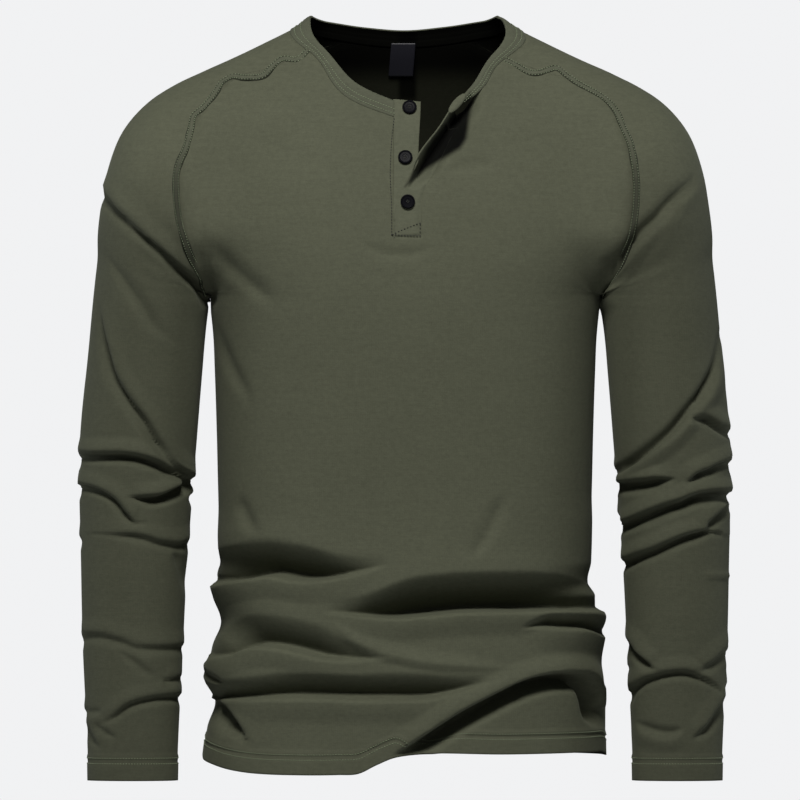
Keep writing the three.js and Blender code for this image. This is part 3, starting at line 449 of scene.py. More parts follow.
# Folds. Each path runs along the valley in the front view, from left to right. Over it the cloth comes out
# within "above" to a roll as high as "brow", and under it within "below" to one as high as "lip". start and
# end are the shares left at the ends of the path.
FOLD_COLUMNS = ("on", "face", "depth", "above", "below", "brow", "lip", "start", "end", "path")
FOLD_TABLE = {
    ("body", "front"): [
        # the body, front: sags that shade from above and end in a sharp valley
        (30, 28, 8, 1, 4, 0.75, 0, [(-179, -504), (-169, -505), (-148, -500), (-122, -496), (-94, -500), (-58, -499),
         (-12, -490)]),
        (41, 31, 8, 1, 5, 0, 0.5, [(-76, -532), (-43, -534), (-14, -534), (16, -531), (47, -528), (76, -527),
         (106, -527), (137, -527), (160, -529), (178, -531)]),
        (19, 24, 8, 1, 4, 0.5, 0, [(-173, -573), (-160, -570), (-148, -563), (-133, -559), (-110, -561), (-88, -566),
         (-68, -571), (-38, -574), (-11, -574)]),
        (-4, 12, 12, 0, 0, 0, 0, [(-74, -534), (-65, -543), (-43, -559), (-22, -569), (-7, -572), (16, -577),
         (47, -580), (76, -582), (122, -585)]),
        (18, 19, 8, 1, 4, 0.5, 0, [(-177, -610), (-162, -609), (-133, -607), (-104, -605), (-74, -605), (-43, -606),
         (-14, -606), (16, -606), (40, -603), (65, -598), (88, -592)]),
        (13, 11, 6, 0, 3, 0, 1, [(101, -549), (124, -544), (140, -545), (160, -547), (179, -556)]),
        (11, 5, 22, 2, 0, 1, 0.3, [(-175, -616), (-166, -622), (-158, -631), (-146, -643)]),
        (5, 6, 5, 1, 0, 1, 0, [(-182, -585), (-174, -592), (-161, -599)]),
        # soft folds from the underarms and over the chest
        (5, 9, 7, 0, 0, 1, 0, [(-174, -254), (-178, -233), (-181, -216), (-186, -200)]),
        (3.5, 14, 12, 0, 0, 0.3, 0, [(-187, -192), (-166, -216), (-133, -244), (-112, -262)]),
        (3.5, 9, 9, 0, 0, 0, 0, [(-170, -270), (-161, -303), (-149, -327), (-134, -352)]),
        (4, 7, 7, 0, 0, 1, 0, [(179, -238), (181, -227), (185, -213)]),
        (2.2, 7, 9, 0, 0, 0, 0, [(-40, -202), (-26, -209), (-9, -213), (10, -212), (30, -206)]),
        (2, 8, 10, 0, 0, 0, 0, [(36, -139), (52, -134), (68, -132), (82, -134)]),
        (3, 8, 12, 0, 0, 0, 0, [(-148, -428), (-145, -440), (-138, -454), (-129, -465)]),
        (3, 12, 12, 0, 0, 0, 0, [(56, -488), (70, -468), (82, -445), (90, -425)]),
    ],
    ("sleeve", "front"): [
        # the wearer's right sleeve, front: rolls that overhang a sharp valley
        (6.3, 4, 9, 3.2, 0, 1, 1, [(-274, -155), (-270, -162), (-253, -180), (-233, -198), (-213, -215), (-197, -230),
         (-185, -241), (-178, -253)]),
        (4.2, 12, 10, 0, 0, 0, 0, [(-269, -212), (-253, -236), (-233, -264), (-223, -279), (-199, -296)]),
        (6, 5, 11, 3.2, 0, 0, 1, [(-278, -249), (-274, -266), (-272, -281), (-267, -302), (-261, -322), (-248, -344),
         (-234, -362), (-223, -380), (-211.5, -397), (-202, -406), (-192, -413)]),
        (9.8, 5, 9, 4.5, 0, 0.8, 1, [(-294, -393), (-284, -394), (-270, -394), (-256, -394), (-244, -395),
         (-232, -398), (-221, -402), (-210, -408), (-201, -412), (-192, -416)]),
        (10.5, 5, 9, 4.5, 0, 0, 1, [(-252, -430), (-236, -432), (-222, -432), (-210, -428), (-199, -422),
         (-191, -418)]),
        (5.6, 4, 7, 3.2, 0, 1, 0.2, [(-292, -421), (-282, -423), (-274, -426), (-266, -430), (-259, -436),
         (-254, -443), (-248, -450), (-243, -454), (-235, -454)]),
        (3.6, 5, 8, 2, 0, 0.2, 1, [(-279, -464), (-261, -465), (-246, -466), (-234, -468), (-222, -472), (-212, -474),
         (-202, -475), (-192, -472)]),
        (3.5, 9, 9, 0, 0, 0, 0, [(-210, -477), (-202, -488), (-197, -506), (-195, -524)]),
        (2.6, 5, 9, 1.6, 0, 1, 1, [(-292, -556), (-274, -556), (-261, -559), (-251, -562), (-242, -566), (-228, -567),
         (-212, -567), (-197, -566)]),
        (1.8, 6, 8, 1, 0, 0, 0, [(-261, -569), (-250, -573), (-240, -581), (-231, -588), (-220, -591)]),
        (2.3, 4, 6, 1, 0, 0, 1, [(-218, -595), (-210, -596), (-199, -593)]),
        (4.2, 4.5, 7, 2.4, 0, 0.2, 1, [(-274, -634), (-266, -631), (-258, -626), (-252, -621), (-245, -617),
         (-235, -614), (-224, -612), (-213, -611), (-201, -611)]),
        (1.9, 5, 6, 0, 1.4, 0.6, 0, [(-291, -621), (-282, -624), (-271, -622)]),
        (1.9, 5, 6, 1, 0, 0, 0, [(-279, -633), (-271, -641), (-258, -648)]),
        (2.3, 5, 6, 1, 0, 1, 0, [(-288, -635), (-284, -644), (-280, -651), (-273, -658)]),
        # the wearer's left sleeve, front
        (7.7, 4, 12, 3.2, 0, 0, 1, [(263, -140), (260, -147), (253, -156), (242, -166), (230, -179), (217, -191),
         (204, -206), (195, -219), (185, -235), (178, -250)]),
        (4.9, 4, 6, 2, 0, 0, 0.6, [(254, -170), (240, -176), (230, -183), (217, -193), (208, -202)]),
        (7.7, 5, 9, 4.5, 0, 0.3, 1, [(284, -285), (281, -304), (278, -317), (273, -329), (266, -341), (256, -353),
         (248, -363), (238, -374), (227, -383), (214, -393), (202, -402), (192, -410)]),
        (6.3, 4.5, 7, 3.2, 0, 0, 1, [(250, -362), (257, -360), (266, -360), (274, -363), (281, -368), (293, -374)]),
        (10.5, 5, 12, 4.5, 0, 1, 0, [(188, -419), (201, -419), (214, -418), (227, -416), (245, -414)]),
        (7.7, 4.5, 7, 3.9, 0, 0, 1, [(251, -421), (258, -415), (266, -410), (274, -407), (282, -403), (294, -399)]),
        (11.2, 5, 12, 4.5, 0, 0.8, 1, [(192, -458), (206, -452), (217, -447), (227, -443), (238, -439), (248, -436),
         (257, -432), (268, -429), (281, -428), (296, -429)]),
        (6.3, 4.5, 7, 3.2, 0, 1, 0, [(274, -455), (281, -449), (290, -441), (295, -436)]),
        (8.4, 5, 9, 3.9, 0, 1, 0.2, [(194, -492), (212, -484), (223, -480), (236, -474), (250, -468), (263, -464),
         (272, -462), (284, -464)]),
        (-2.1, 4, 4, 0, 0, 0, 1, [(266, -501), (280, -501), (296, -502)]),
        (5.6, 4.5, 7, 3.2, 0, 1, 0, [(196, -559), (201, -564), (206, -572), (214, -579), (222, -584), (233, -586)]),
        (3.5, 5, 8, 2.3, 0, 0, 1, [(256, -586), (268, -585), (278, -580), (287, -572), (292, -567)]),
        (5.6, 4.5, 7, 3.6, 0, 1, 0.3, [(201, -612), (203, -606), (207, -602), (214, -597), (224, -593), (236, -590),
         (248, -589), (256, -590), (266, -594), (274, -598), (283, -605)]),
        (4.2, 5, 8, 2.6, 0, 0, 1, [(256, -649), (264, -644), (272, -638), (279, -628), (286, -618), (291, -612)]),
        (3.5, 7, 8, 0, 2.6, 0, 0, [(206, -632), (216, -637), (230, -641), (242, -641), (251, -637)]),
    ],
    ("body", "back"): [
        # the back, with folds like the front's
        (13, 30, 8, 0, 4, 0.75, 0, [(-180, -512), (-150, -500), (-100, -494), (-40, -502), (20, -514)]),
        (16, 28, 8, 0, 5, 0, 0.8, [(-80, -546), (-20, -540), (60, -530), (120, -528), (180, -532)]),
        (12, 24, 8, 0, 4, 0.5, 0, [(-178, -578), (-120, -570), (-50, -580), (30, -588)]),
        (11, 18, 8, 0, 4, 0, 0.6, [(-60, -622), (20, -616), (100, -604), (180, -598)]),
    ],
    ("sleeve", "back"): [
        (8.4, 5, 10, 3.9, 0, 1, 1, [(-294, -398), (-248, -412), (-190, -416)]),
        (9.8, 5, 10, 3.9, 0, 1, 1, [(-294, -424), (-240, -446), (-190, -430)]),
        (5.6, 5, 9, 2.6, 0, 1, 0.3, [(-294, -470), (-250, -484), (-205, -478)]),
        (4.2, 5, 9, 2.6, 0, 1, 1, [(-294, -560), (-248, -572), (-196, -566)]),
        (5.6, 5, 9, 3.2, 0, 1, 1, [(-294, -628), (-248, -618), (-196, -611)]),
        (8.4, 5, 10, 3.9, 0, 1, 1, [(190, -410), (242, -420), (296, -402)]),
        (9.8, 5, 11, 3.9, 0, 1, 1, [(190, -450), (246, -440), (296, -430)]),
        (5.6, 5, 9, 3.2, 0, 1, 0.3, [(192, -492), (240, -478), (280, -468)]),
        (4.9, 5, 9, 2.6, 0, 0.5, 1, [(197, -584), (246, -590), (292, -572)]),
        (5.6, 5, 9, 3.2, 0, 1, 1, [(197, -612), (246, -596), (292, -604)]),
    ],
    ("flap", "front"): [
        # the open flap of the placket
        (18, 5, 21, 2.5, 0, 0, 1, [(3, -156), (9.7, -142), (17, -127), (34, -103), (43, -89), (52, -74)]),
    ],
}
FOLDS = [dict(zip(FOLD_COLUMNS, (*key, *row))) for key, rows in FOLD_TABLE.items() for row in rows]
ROLL = {"body": 22, "sleeve": 13, "flap": 8}
CURVE = {"body": 1.35, "sleeve": 1.6, "flap": 1.3}
SIDE_SHARE = {"body": 0.45, "sleeve": 0.5, "flap": 1}
# heights between which a neighbour's folds fade in, and how far folds taper along their paths and round the side
FOREIGN = (-251, -222)
TAPER = {"start": (0, 0.35), "end": (0.65, 1), "narrow": 0.35}
FACING = {"none": -0.5, "weight": (-0.4, 0.2), "side": (0, 0.6), "edge": (0.35, 0.95), "same_side": 400}
# how far the body's sides stand out from the form, height by height
EDGES = {
    -1: [(-440, 0), (-462, 1), (-488, 1), (-503, 7), (-521, 3), (-544, -6), (-568, 1), (-591, 4), (-614, -6),
         (-640, -2), (-664, 1), (-690, 1)],
    1: [(-430, 0), (-455, 1), (-490, 0), (-508, -4), (-520, 5), (-547, 9), (-578, 1), (-606, 1), (-650, 0),
        (-690, 0)],
}
# the large fold over the front hem: under its edge the cloth steps back and comes out again lower down
OVERHANG = {
    "depth": 26, "edge": 3.5, "roll": 5, "roll_at": 2, "roll_wide": 16, "side_fade": 50, "top": -520,
    "start": 0.15, "recovery": 0.82, "recovers": (4, 21),
    "path": [(-14, -661), (16, -643), (46, -624), (76, -608), (106, -594), (130, -588), (151, -587), (166, -590),
             (175, -602), (180, -620)],
}


def path_place(path, x, z):
    """Distance to a path, share of the way along it, and whether the point lies above it"""
    path = finely(path, 4)
    best = np.full(len(x), np.inf)
    share, over = np.zeros(len(x)), np.zeros(len(x))
    for i, (a, b) in enumerate(zip(path, path[1:])):
        run = b - a
        t = np.clip(((x - a[0]) * run[0] + (z - a[1]) * run[1]) / (run @ run), 0, 1)
        dx, dz = x - a[0] - t * run[0], z - a[1] - t * run[1]
        distance = np.hypot(dx, dz)
        nearer = distance < best
        best = np.where(nearer, distance, best)
        share = np.where(nearer, (i + t) / (len(path) - 1), share)
        over = np.where(nearer, dz * run[0] - dx * run[1], over)
    return best, share, over > 0


def bump(q):
    return (1 - np.clip(q, 0, 1) ** 2) ** 2


def fold_heights(f, x, z):
    """How far one fold brings the cloth out, or in where it is below 0"""
    distance, share, over = path_place(f["path"], x, z)
    taper = mix(f["start"], 1, smooth(*TAPER["start"], share)) * mix(1, f["end"], smooth(*TAPER["end"], share))
    wide = mix(TAPER["narrow"], 1, taper)
    roll = ROLL[f["on"]]
    above, below = f["above"] * wide, f["below"] * wide
    up = mix(-f["depth"], f["brow"], 1 - (1 - np.clip(distance / above, 0, 1)) ** CURVE[f["on"]])
    up = np.where(distance > above, f["brow"] * bump((distance - above) / roll), up)
    down = mix(-f["depth"], f["lip"], smooth(0, 1, distance / below))
    down = np.where(distance > below, f["lip"] * bump((distance - below) / roll), down)
    return np.where(over, up, down) * taper


def draped(points, ways, own, flap=0.0, lift=0.0):
    """Presses the folds into points on the form. own names the folds of this piece, and the folds of its
    neighbour run in over the yoke."""
    shape = points.shape[:-1]
    p, way = points.reshape(-1, 3), ways.reshape(-1, 3)
    high, low = np.zeros(len(p)), np.zeros(len(p))
    flap = np.broadcast_to(flap, shape).reshape(-1)
    for f in FOLDS:
        face = 1 if f["face"] == "front" else -1
        facing = -way[:, 1] * face
        reach = max(f["above"], f["below"]) + ROLL[f["on"]]
        path = np.array(f["path"], float)
        near = (p[:, ::2] > path.min(0) - reach).all(1) & (p[:, ::2] < path.max(0) + reach).all(1)
        near &= (facing > FACING["none"]) & (np.abs(p[:, 0] - path[0, 0]) < FACING["same_side"])
        if not near.any():
            continue
        q = p[near]
        weight = mix(SIDE_SHARE[f["on"]], 1, smooth(*FACING["side"], facing[near]))
        weight = smooth(*FACING["weight"], facing[near]) * weight
        if f["on"] == "flap":
            weight = weight * flap[near]
        elif f["on"] != own:
            weight = weight * smooth(*FOREIGN, q[:, 2])
        height = fold_heights(f, q[:, 0], q[:, 2]) * weight
        high[near] = np.maximum(high[near], height)
        low[near] = np.minimum(low[near], height)
    height = high + low
    if own == "body":
        distance, share, over = path_place(OVERHANG["path"], p[:, 0], p[:, 2])
        signed = np.where(over, distance, -distance)
        here = smooth(0, OVERHANG["start"], share) * smooth(0, OVERHANG["side_fade"], -p[:, 1])
        here = here * (p[:, 2] < OVERHANG["top"])
        step = smooth(0, OVERHANG["edge"], -signed)
        step = step * (1 - OVERHANG["recovery"] * smooth(*OVERHANG["recovers"], -signed))
        roll = OVERHANG["roll"] * bump(np.abs(signed - OVERHANG["roll_at"]) / OVERHANG["roll_wide"])
        height -= here * (OVERHANG["depth"] * step - roll * (1 - step))
    way = unit(way)
    if own == "body":
        for side, rows in EDGES.items():
            height += at_height(rows, p[:, 2])[:, 0] * smooth(*FACING["edge"], way[:, 0] * side)
    height += np.broadcast_to(lift, shape).reshape(-1)
    return (p + way * height[:, None]).reshape(*shape, 3)


# Jersey: fine cotton knit with faint level streaks and a fine mottle, matt with a soft sheen
# the inside colour is painted shade: the reverse of the cloth painted near black for the shade inside the shirt
JERSEY = {"colour": (0.101, 0.107, 0.072), "trim": (0.096, 0.103, 0.071), "band": (0.104, 0.112, 0.077),
          "strip": (0.109, 0.116, 0.079), "inside": (0.016, 0.017, 0.011)}
KNIT = {"wale": 0.0010, "course": 0.0008, "contrast": 0.28}
# Painted shade and painted shadow, places in metres where the cloth is painted darker because the light in the
# scene leaves it too pale: the painted shadow under the neck label inside the back, painted shade on the sleeves,
# the painted shadow under the open flap and painted shade on the raglan bands towards the underarms
LABEL_SHADOW = {"x": 0.0023, "fades": (0.005, 0.011), "z": (-0.080, -0.066), "share": 0.85}
SLEEVE_SHADE = {"x": (0.183, 0.205), "z": (-0.20, -0.12), "share": 0.22}
POCKET_SHADE = 0.99
BAND_SHADE = {"z": (-0.16, -0.10), "low": 0.6}
# painted shadow of a seam band's grooves, as tones from its middle to its edges: dark along its rows of stitches and
# at its edges
BAND_SHADOW_TONES = [(0, 0.95), (0.4, 0.9), (0.52, 0.3), (0.8, 0.3), (0.86, 0.8), (0.92, 0.6), (1, 0.12)]


def between(tree, value, low, high, one, two):
    """A value that goes smoothly from one to two while another goes from low to high"""
    return shader_node(tree, "ShaderNodeMapRange", {"interpolation_type": "SMOOTHSTEP"},
                       {"Value": value, "From Min": low, "From Max": high, "To Min": one, "To Max": two})


def part_of(tree, vector, axis):
    return shader_node(tree, "ShaderNodeSeparateXYZ", None, {"Vector": vector}, axis)


def scaled(tree, vector, scale):
    return shader_node(tree, "ShaderNodeMapping", None, {"Vector": vector, "Scale": scale})


def jersey_material(name, colour, shaded=None, band=None):
    """shaded gives the heights in metres between which the cloth is painted darker to a share of its colour, as
    painted shade, and band the width of a seam band, which has painted shadow in its two rows and at its edges"""
    material, tree, shader = new_material(name, {
        "Sheen Weight": 0 if shaded else 0.08, "Sheen Roughness": 0.45, "Sheen Tint": (0.75, 0.8, 0.65, 1),
        "Specular IOR Level": 0.05 if shaded else 0.1})
    place = object_place(tree)
    cloth = shader_node(tree, "ShaderNodeTexCoord", output=2)
    streaks = noise(tree, scaled(tree, place, (26, 26, 420)), 1.0, 3.0)
    slubs = noise(tree, scaled(tree, place, (150, 150, 700)), 1.0, 2.0)
    cloud = noise(tree, place, 9.0, 4.0)
    grain = noise(tree, place, 900.0, 2.0)
    mottle = noise(tree, place, 240.0, 3.0)
    wales = shader_node(tree, "ShaderNodeTexWave", {"wave_type": "BANDS", "bands_direction": "X"},
                        {"Vector": scaled(tree, cloth, (1 / KNIT["wale"], 1 / KNIT["course"], 1)),
                         "Scale": 1 / TURN, "Distortion": 0.6, "Detail": 1.0})
    shade = (streaks - 0.5) * 0.25 + (slubs - 0.5) * 0.4 + (mottle - 0.5) * 0.45 + (cloud - 0.5) * 0.35
    shade = shade + (grain - 0.5) * 0.5
    darker, lighter = (tuple(c * (1 + side * KNIT["contrast"]) for c in colour) + (1,) for side in (-1, 1))
    paint = mix_colours(tree, shade + 0.5, darker, lighter)
    spot_x, spot_z = part_of(tree, place, 0), part_of(tree, place, 2)
    if shaded:
        # painted shadow: a dark strip on the inside of the back, under the neck label
        away = spot_x - LABEL_SHADOW["x"]
        under = between(tree, away.math("ABSOLUTE", away), *LABEL_SHADOW["fades"], LABEL_SHADOW["share"], 0.0)
        under = under * between(tree, spot_z, *LABEL_SHADOW["z"], 0.0, 1.0)
        share = between(tree, spot_z, shaded[0], shaded[1], 1.0, shaded[2]) * (under * -1 + 1)
    else:
        # painted shade: the sleeves painted darker below the shoulders, where less light falls
        sleeve_painted_shade = between(tree, spot_x.math("ABSOLUTE", spot_x), *SLEEVE_SHADE["x"], 0.0, 1.0)
        sleeve_painted_shade = sleeve_painted_shade * between(tree, spot_z, *SLEEVE_SHADE["z"], 1.0, 0.0)
        # painted shadow in the pocket under the open flap, read from a point attribute
        pocket = shader_node(tree, "ShaderNodeAttribute", {"attribute_name": "pocket"}, output=2)
        share = (sleeve_painted_shade * -SLEEVE_SHADE["share"] + 1) * (pocket * -POCKET_SHADE + 1)
    paint = darkened(tree, paint, share)
    if band:
        # painted shadow in the band's grooves
        across = part_of(tree, cloth, 0) * (2 / band) - 1
        stops = [(at, (tone, tone, tone, 1)) for at, tone in BAND_SHADOW_TONES]
        share = shader_node(tree, "ShaderNodeValToRGB", {"stops": stops}, {"Fac": across.math("ABSOLUTE", across)})
        paint = darkened(tree, paint, share)
        # painted shade: the raglan bands darker towards the underarms
        paint = darkened(tree, paint, between(tree, spot_z, *BAND_SHADE["z"], BAND_SHADE["low"], 1.0))
    tree.links.new(paint.socket, shader.inputs["Base Color"])
    rough = (streaks - 0.5) * 0.12 + 0.80
    tree.links.new(rough.socket, shader.inputs["Roughness"])
    height = wales * 0.15 + grain * 0.45 + mottle * 0.5 + slubs * 0.4
    relief = shader_node(tree, "ShaderNodeBump", None, {"Strength": 0.35, "Distance": 0.0004, "Height": height})
    tree.links.new(relief.socket, shader.inputs["Normal"])
    return material


jersey = jersey_material("jersey", JERSEY["colour"])
jersey_trim = jersey_material("jersey_trim", JERSEY["trim"])
jersey_band = jersey_material("jersey_band", JERSEY["band"], band=0.006)
jersey_strip = jersey_material("jersey_strip", JERSEY["strip"])
# the inside of the pieces: painted shade, near black and darker still towards the top of the neck
jersey_inside_painted_shade = jersey_material("jersey_inside_painted_shade", JERSEY["inside"], (-0.060, -0.036, 0.10))

# Thickness of the cloth, and the pocket of painted shadow under the open flap by its corners in the front view
CLOTH = 1.2
POCKET_SHADOW = [(0, -153), (4, -146), (9.4, -137), (15.3, -128), (18.9, -119), (24.8, -110), (32.4, -101), (38.3, -92),
          (46.8, -83), (54, -74), (58.5, -67.5), (61.7, -74), (59.4, -83), (57.6, -92), (56.7, -101), (55.4, -110),
          (49.5, -119), (34.2, -128), (19.4, -137), (7.2, -147.6), (0, -153)]
POCKET_FADE = (-2.5, 3)


def pocket_shadow_share(points):
    """How much painted shadow the cloth takes under the flap, from 0 to 1"""
    x, z = points[..., 0].ravel(), points[..., 2].ravel()
    away, inside = np.full(len(x), np.inf), np.zeros(len(x), bool)
    for (ax, az), (bx, bz) in zip(POCKET_SHADOW, POCKET_SHADOW[1:]):
        t = np.clip(((x - ax) * (bx - ax) + (z - az) * (bz - az)) / ((bx - ax) ** 2 + (bz - az) ** 2), 0, 1)
        away = np.minimum(away, np.hypot(x - mix(ax, bx, t), z - mix(az, bz, t)))
        crossed = (az > z) != (bz > z)
        inside ^= crossed & (x < ax + (z - az) * (bx - ax) / np.where(az == bz, 1, bz - az))
    depth = smooth(*POCKET_FADE, np.where(inside, away, -away)) * (points[..., 1].ravel() < 0)
    return depth.reshape(points.shape[:2])


def facing_out(points, ways):
    """Turns a grid round where its cells would face inwards"""
    a = points[1:, :-1] - points[:-1, :-1]
    b = points[:-1, 1:] - points[:-1, :-1]
    return points if (np.cross(b, a) * ways[:-1, :-1]).sum() > 0 else points[:, ::-1]


def sheet_object(name, points, ways, material, size, thick=CLOTH, drop=None, inside=jersey_inside_painted_shade):
    """A cloth piece from a grid of points in space, rows upwards, made solid inwards. drop marks cells to leave out"""
    points = facing_out(points, ways)
    # painted shadow under the open flap, kept on the points for the jersey to read
    depth = pocket_shadow_share(points)
    rows, columns = points.shape[:2]
    bm = bmesh.new()
    bmesh.ops.create_grid(bm, x_segments=columns - 1, y_segments=rows - 1, size=0.5)
    uv = bm.loops.layers.uv.new()
    pocket = bm.verts.layers.float.new("pocket")
    unwanted = []
    for face in bm.faces:
        middle = face.calc_center_median()
        for loop in face.loops:
            loop[uv].uv = ((loop.vert.co.x + 0.5) * size[0], (loop.vert.co.y + 0.5) * size[1])
        if drop and drop(int((middle.x + 0.5) * (columns - 1)), int((middle.y + 0.5) * (rows - 1))):
            unwanted.append(face)
    for vert in bm.verts:
        i = round((vert.co.x + 0.5) * (columns - 1))
        j = round((vert.co.y + 0.5) * (rows - 1))
        vert.co = Vector(points[j, i]) * MM
        vert[pocket] = depth[j, i]
    bmesh.ops.delete(bm, geom=unwanted, context="FACES")
    bmesh.ops.remove_doubles(bm, verts=bm.verts, dist=WELD)
    mesh = finished(bm, name)
    mesh.shade_smooth()
    mesh.materials.append(material)
    mesh.materials.append(inside)
    piece = linked(name, mesh)
    wall = piece.modifiers.new("cloth", "SOLIDIFY")
    wall.thickness = thick * MM
    wall.offset = -1
    wall.material_offset = 1
    # the cut edges of the cloth panels take the inside's painted shade
    wall.material_offset_rim = int(thick == CLOTH)
    return piece


def divided(grid, times):
    """Rows of points and ways divided on curves that allow for the uneven distances between the rows"""
    size = np.maximum(np.linalg.norm(np.diff(grid[..., :3], axis=0), axis=2, keepdims=True), 0.01)
    slope = np.diff(grid, axis=0) / size
    inner = (slope[1:] * size[:-1] + slope[:-1] * size[1:]) / (size[1:] + size[:-1])
    slope = np.concatenate([slope[:1], inner, slope[-1:]])
    t = (np.arange(times) / times).reshape(1, -1, 1, 1)
    a, b = grid[:-1, None], grid[1:, None]
    rise, fall = slope[:-1, None] * size[:, None], slope[1:, None] * size[:, None]
    made = a + t * (rise + t * (3 * (b - a) - 2 * rise - fall + t * (2 * (a - b) + rise + fall)))
    return np.concatenate([made.reshape(-1, *grid.shape[1:]), grid[-1:]])


def finer(points, ways, down, across):
    """A grid of points and their ways out, divided further"""
    both = divided(np.concatenate([points, ways], 2), down)
    both = divided(both.swapaxes(0, 1), across).swapaxes(0, 1)
    return both[..., :3], both[..., 3:]


FINER = 6
SEAM_REACH = 14


def seam_line(side, face):
    """A raglan seam on the draped cloth, divided as finely as the panels"""
    points = RAGLANS[side, face]
    ways = outward(whole_field, points)
    ways[0] = (side, 0, 0)
    points, ways = (rows[:, 0] for rows in finer(np.stack([points] * 2, 1), np.stack([ways] * 2, 1), FINER, 1))
    return draped(points, unit(ways), "body")


SEAM_LINES = {key: seam_line(*key) for key in RAGLANS}


def meet(points, column, side, face):
    """Draws one edge column of a grid to its raglan seam, and the points near it part of the way"""
    target = SEAM_LINES[side, face]
    miss = target - points[-len(target):, column]
    miss = np.concatenate([miss[:1] * ((np.arange(SEAM_REACH) / SEAM_REACH) ** 2)[:, None], miss])
    order = range(SEAM_REACH) if column == 0 else range(-1, -1 - SEAM_REACH, -1)
    for i, k in enumerate(order):
        points[-len(miss):, k] += miss * (1 - i / SEAM_REACH) ** 2
    return points


# Sewing thread: short raised stitches on the cloth, joined in one mesh for each run
STITCH = {"length": 1.5, "radius": 0.48, "flat": 0.9, "blunt": 0.7, "pitch": 2.5, "lift": 0.15}


def thread_material(name, dark, light):
    material, tree, shader = new_material(name, {"Sheen Weight": 0.2})
    twist = noise(tree, object_place(tree), 2600.0, 2.0)
    tree.links.new(mix_colours(tree, twist, dark, light).socket, shader.inputs["Base Color"])
    tree.links.new((twist * 0.2 + 0.45).socket, shader.inputs["Roughness"])
    return material


thread = thread_material("green_thread", (0.09, 0.112, 0.06, 1), (0.27, 0.33, 0.19, 1))
dark_thread = thread_material("dark_thread", (0.006, 0.007, 0.004, 1), (0.018, 0.02, 0.013, 1))


def evenly(line, step):
    """Rows at even distances along a line of points, which may carry more columns after x, y and z"""
    length = lengths(line[:, :3])
    goal = np.linspace(0, length[-1], max(int(length[-1] / step), 2) + 1)
    return read_at(goal, length, line), goal


def stitch_object(name, rows, material=thread, thick=STITCH["radius"]):
    """Rows of stitches joined in one mesh. Each row is a pair: even points on the cloth, and the ways out"""
    bm = bmesh.new()
    bmesh.ops.create_uvsphere(bm, u_segments=5, v_segments=4, radius=1)
    bm.verts.index_update()
    shape = np.array([tuple(vert.co) for vert in bm.verts])
    faces = [[vert.index for vert in face.verts] for face in bm.faces]
    bm.free()
    shape[:, 2] = np.sign(shape[:, 2]) * np.abs(shape[:, 2]) ** STITCH["blunt"]
    verts, made = [], []
    for points, ways in rows:
        run = unit(np.gradient(points, axis=0))
        side = np.cross(ways, run)
        for here, way, ahead, beside in zip(points, ways, run, side):
            start = len(verts) * len(shape)
            verts.append(here + shape[:, :1] * beside * thick + shape[:, 2:] * ahead * STITCH["length"] / 2
                         + shape[:, 1:2] * way * thick * STITCH["flat"])
            made.extend([start + k for k in face] for face in faces)
    mesh = bpy.data.meshes.new(name)
    mesh.from_pydata(np.concatenate(verts) * MM, [], made)
    mesh.shade_smooth()
    mesh.materials.append(material)
    piece = linked(name, mesh)
    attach(piece, "root")
    return piece


def raised(rows, height):
    """Points and ways out from rows of six numbers, with the points a little above the cloth"""
    return rows[:, :3] + rows[:, 3:] * height, rows[:, 3:]


def line_above(points, ways, height):
    """Even points on a panel at a distance along the cloth from its lower edge, with the ways out"""
    length, both = lengths(points), np.concatenate([points, ways], 2)
    line = np.array([read_at(height, length[:, i], both[:, i]) for i in range(points.shape[1])])
    return raised(evenly(line, STITCH["pitch"])[0], STITCH["lift"])


# Front: one panel from the hem to the neck seam, with a slot for the placket
HEM = np.array([(-182, -667), (-165, -674), (-129, -679), (-39, -678), (-18, -666), (13, -660), (91, -661),
                (182, -660)], float)
BACK_HEM_Z = -664
BODY_ROWS = [*range(BACK_HEM_Z, -483, 10), -472, -456, -436, -412, -384, -352, -318, -284]
SLOT = {"foot_z": -198, "left_x": -10, "right_x": 14.4, "rows": 3, "columns": 2}
FRONT_COLUMNS = {"left": 11, "right": 11}
FLAP_SEAM = [(14.4, -198), (14.4, -170), (18, -153), (26, -137), (37, -114), (47, -94), (55, -76)]


def panel_grid(spots, face, sides):
    """A body panel from its grid of turns and heights, with its edge columns on the raglan seams"""
    points, ways = on_body(spots)
    for column, side in zip((0, -1), sides):
        points[-UPPER_ROWS:, column] = RAGLANS[side, face][1:]
        ways[-UPPER_ROWS:, column] = outward(whole_field, RAGLANS[side, face][1:])
    return points, ways


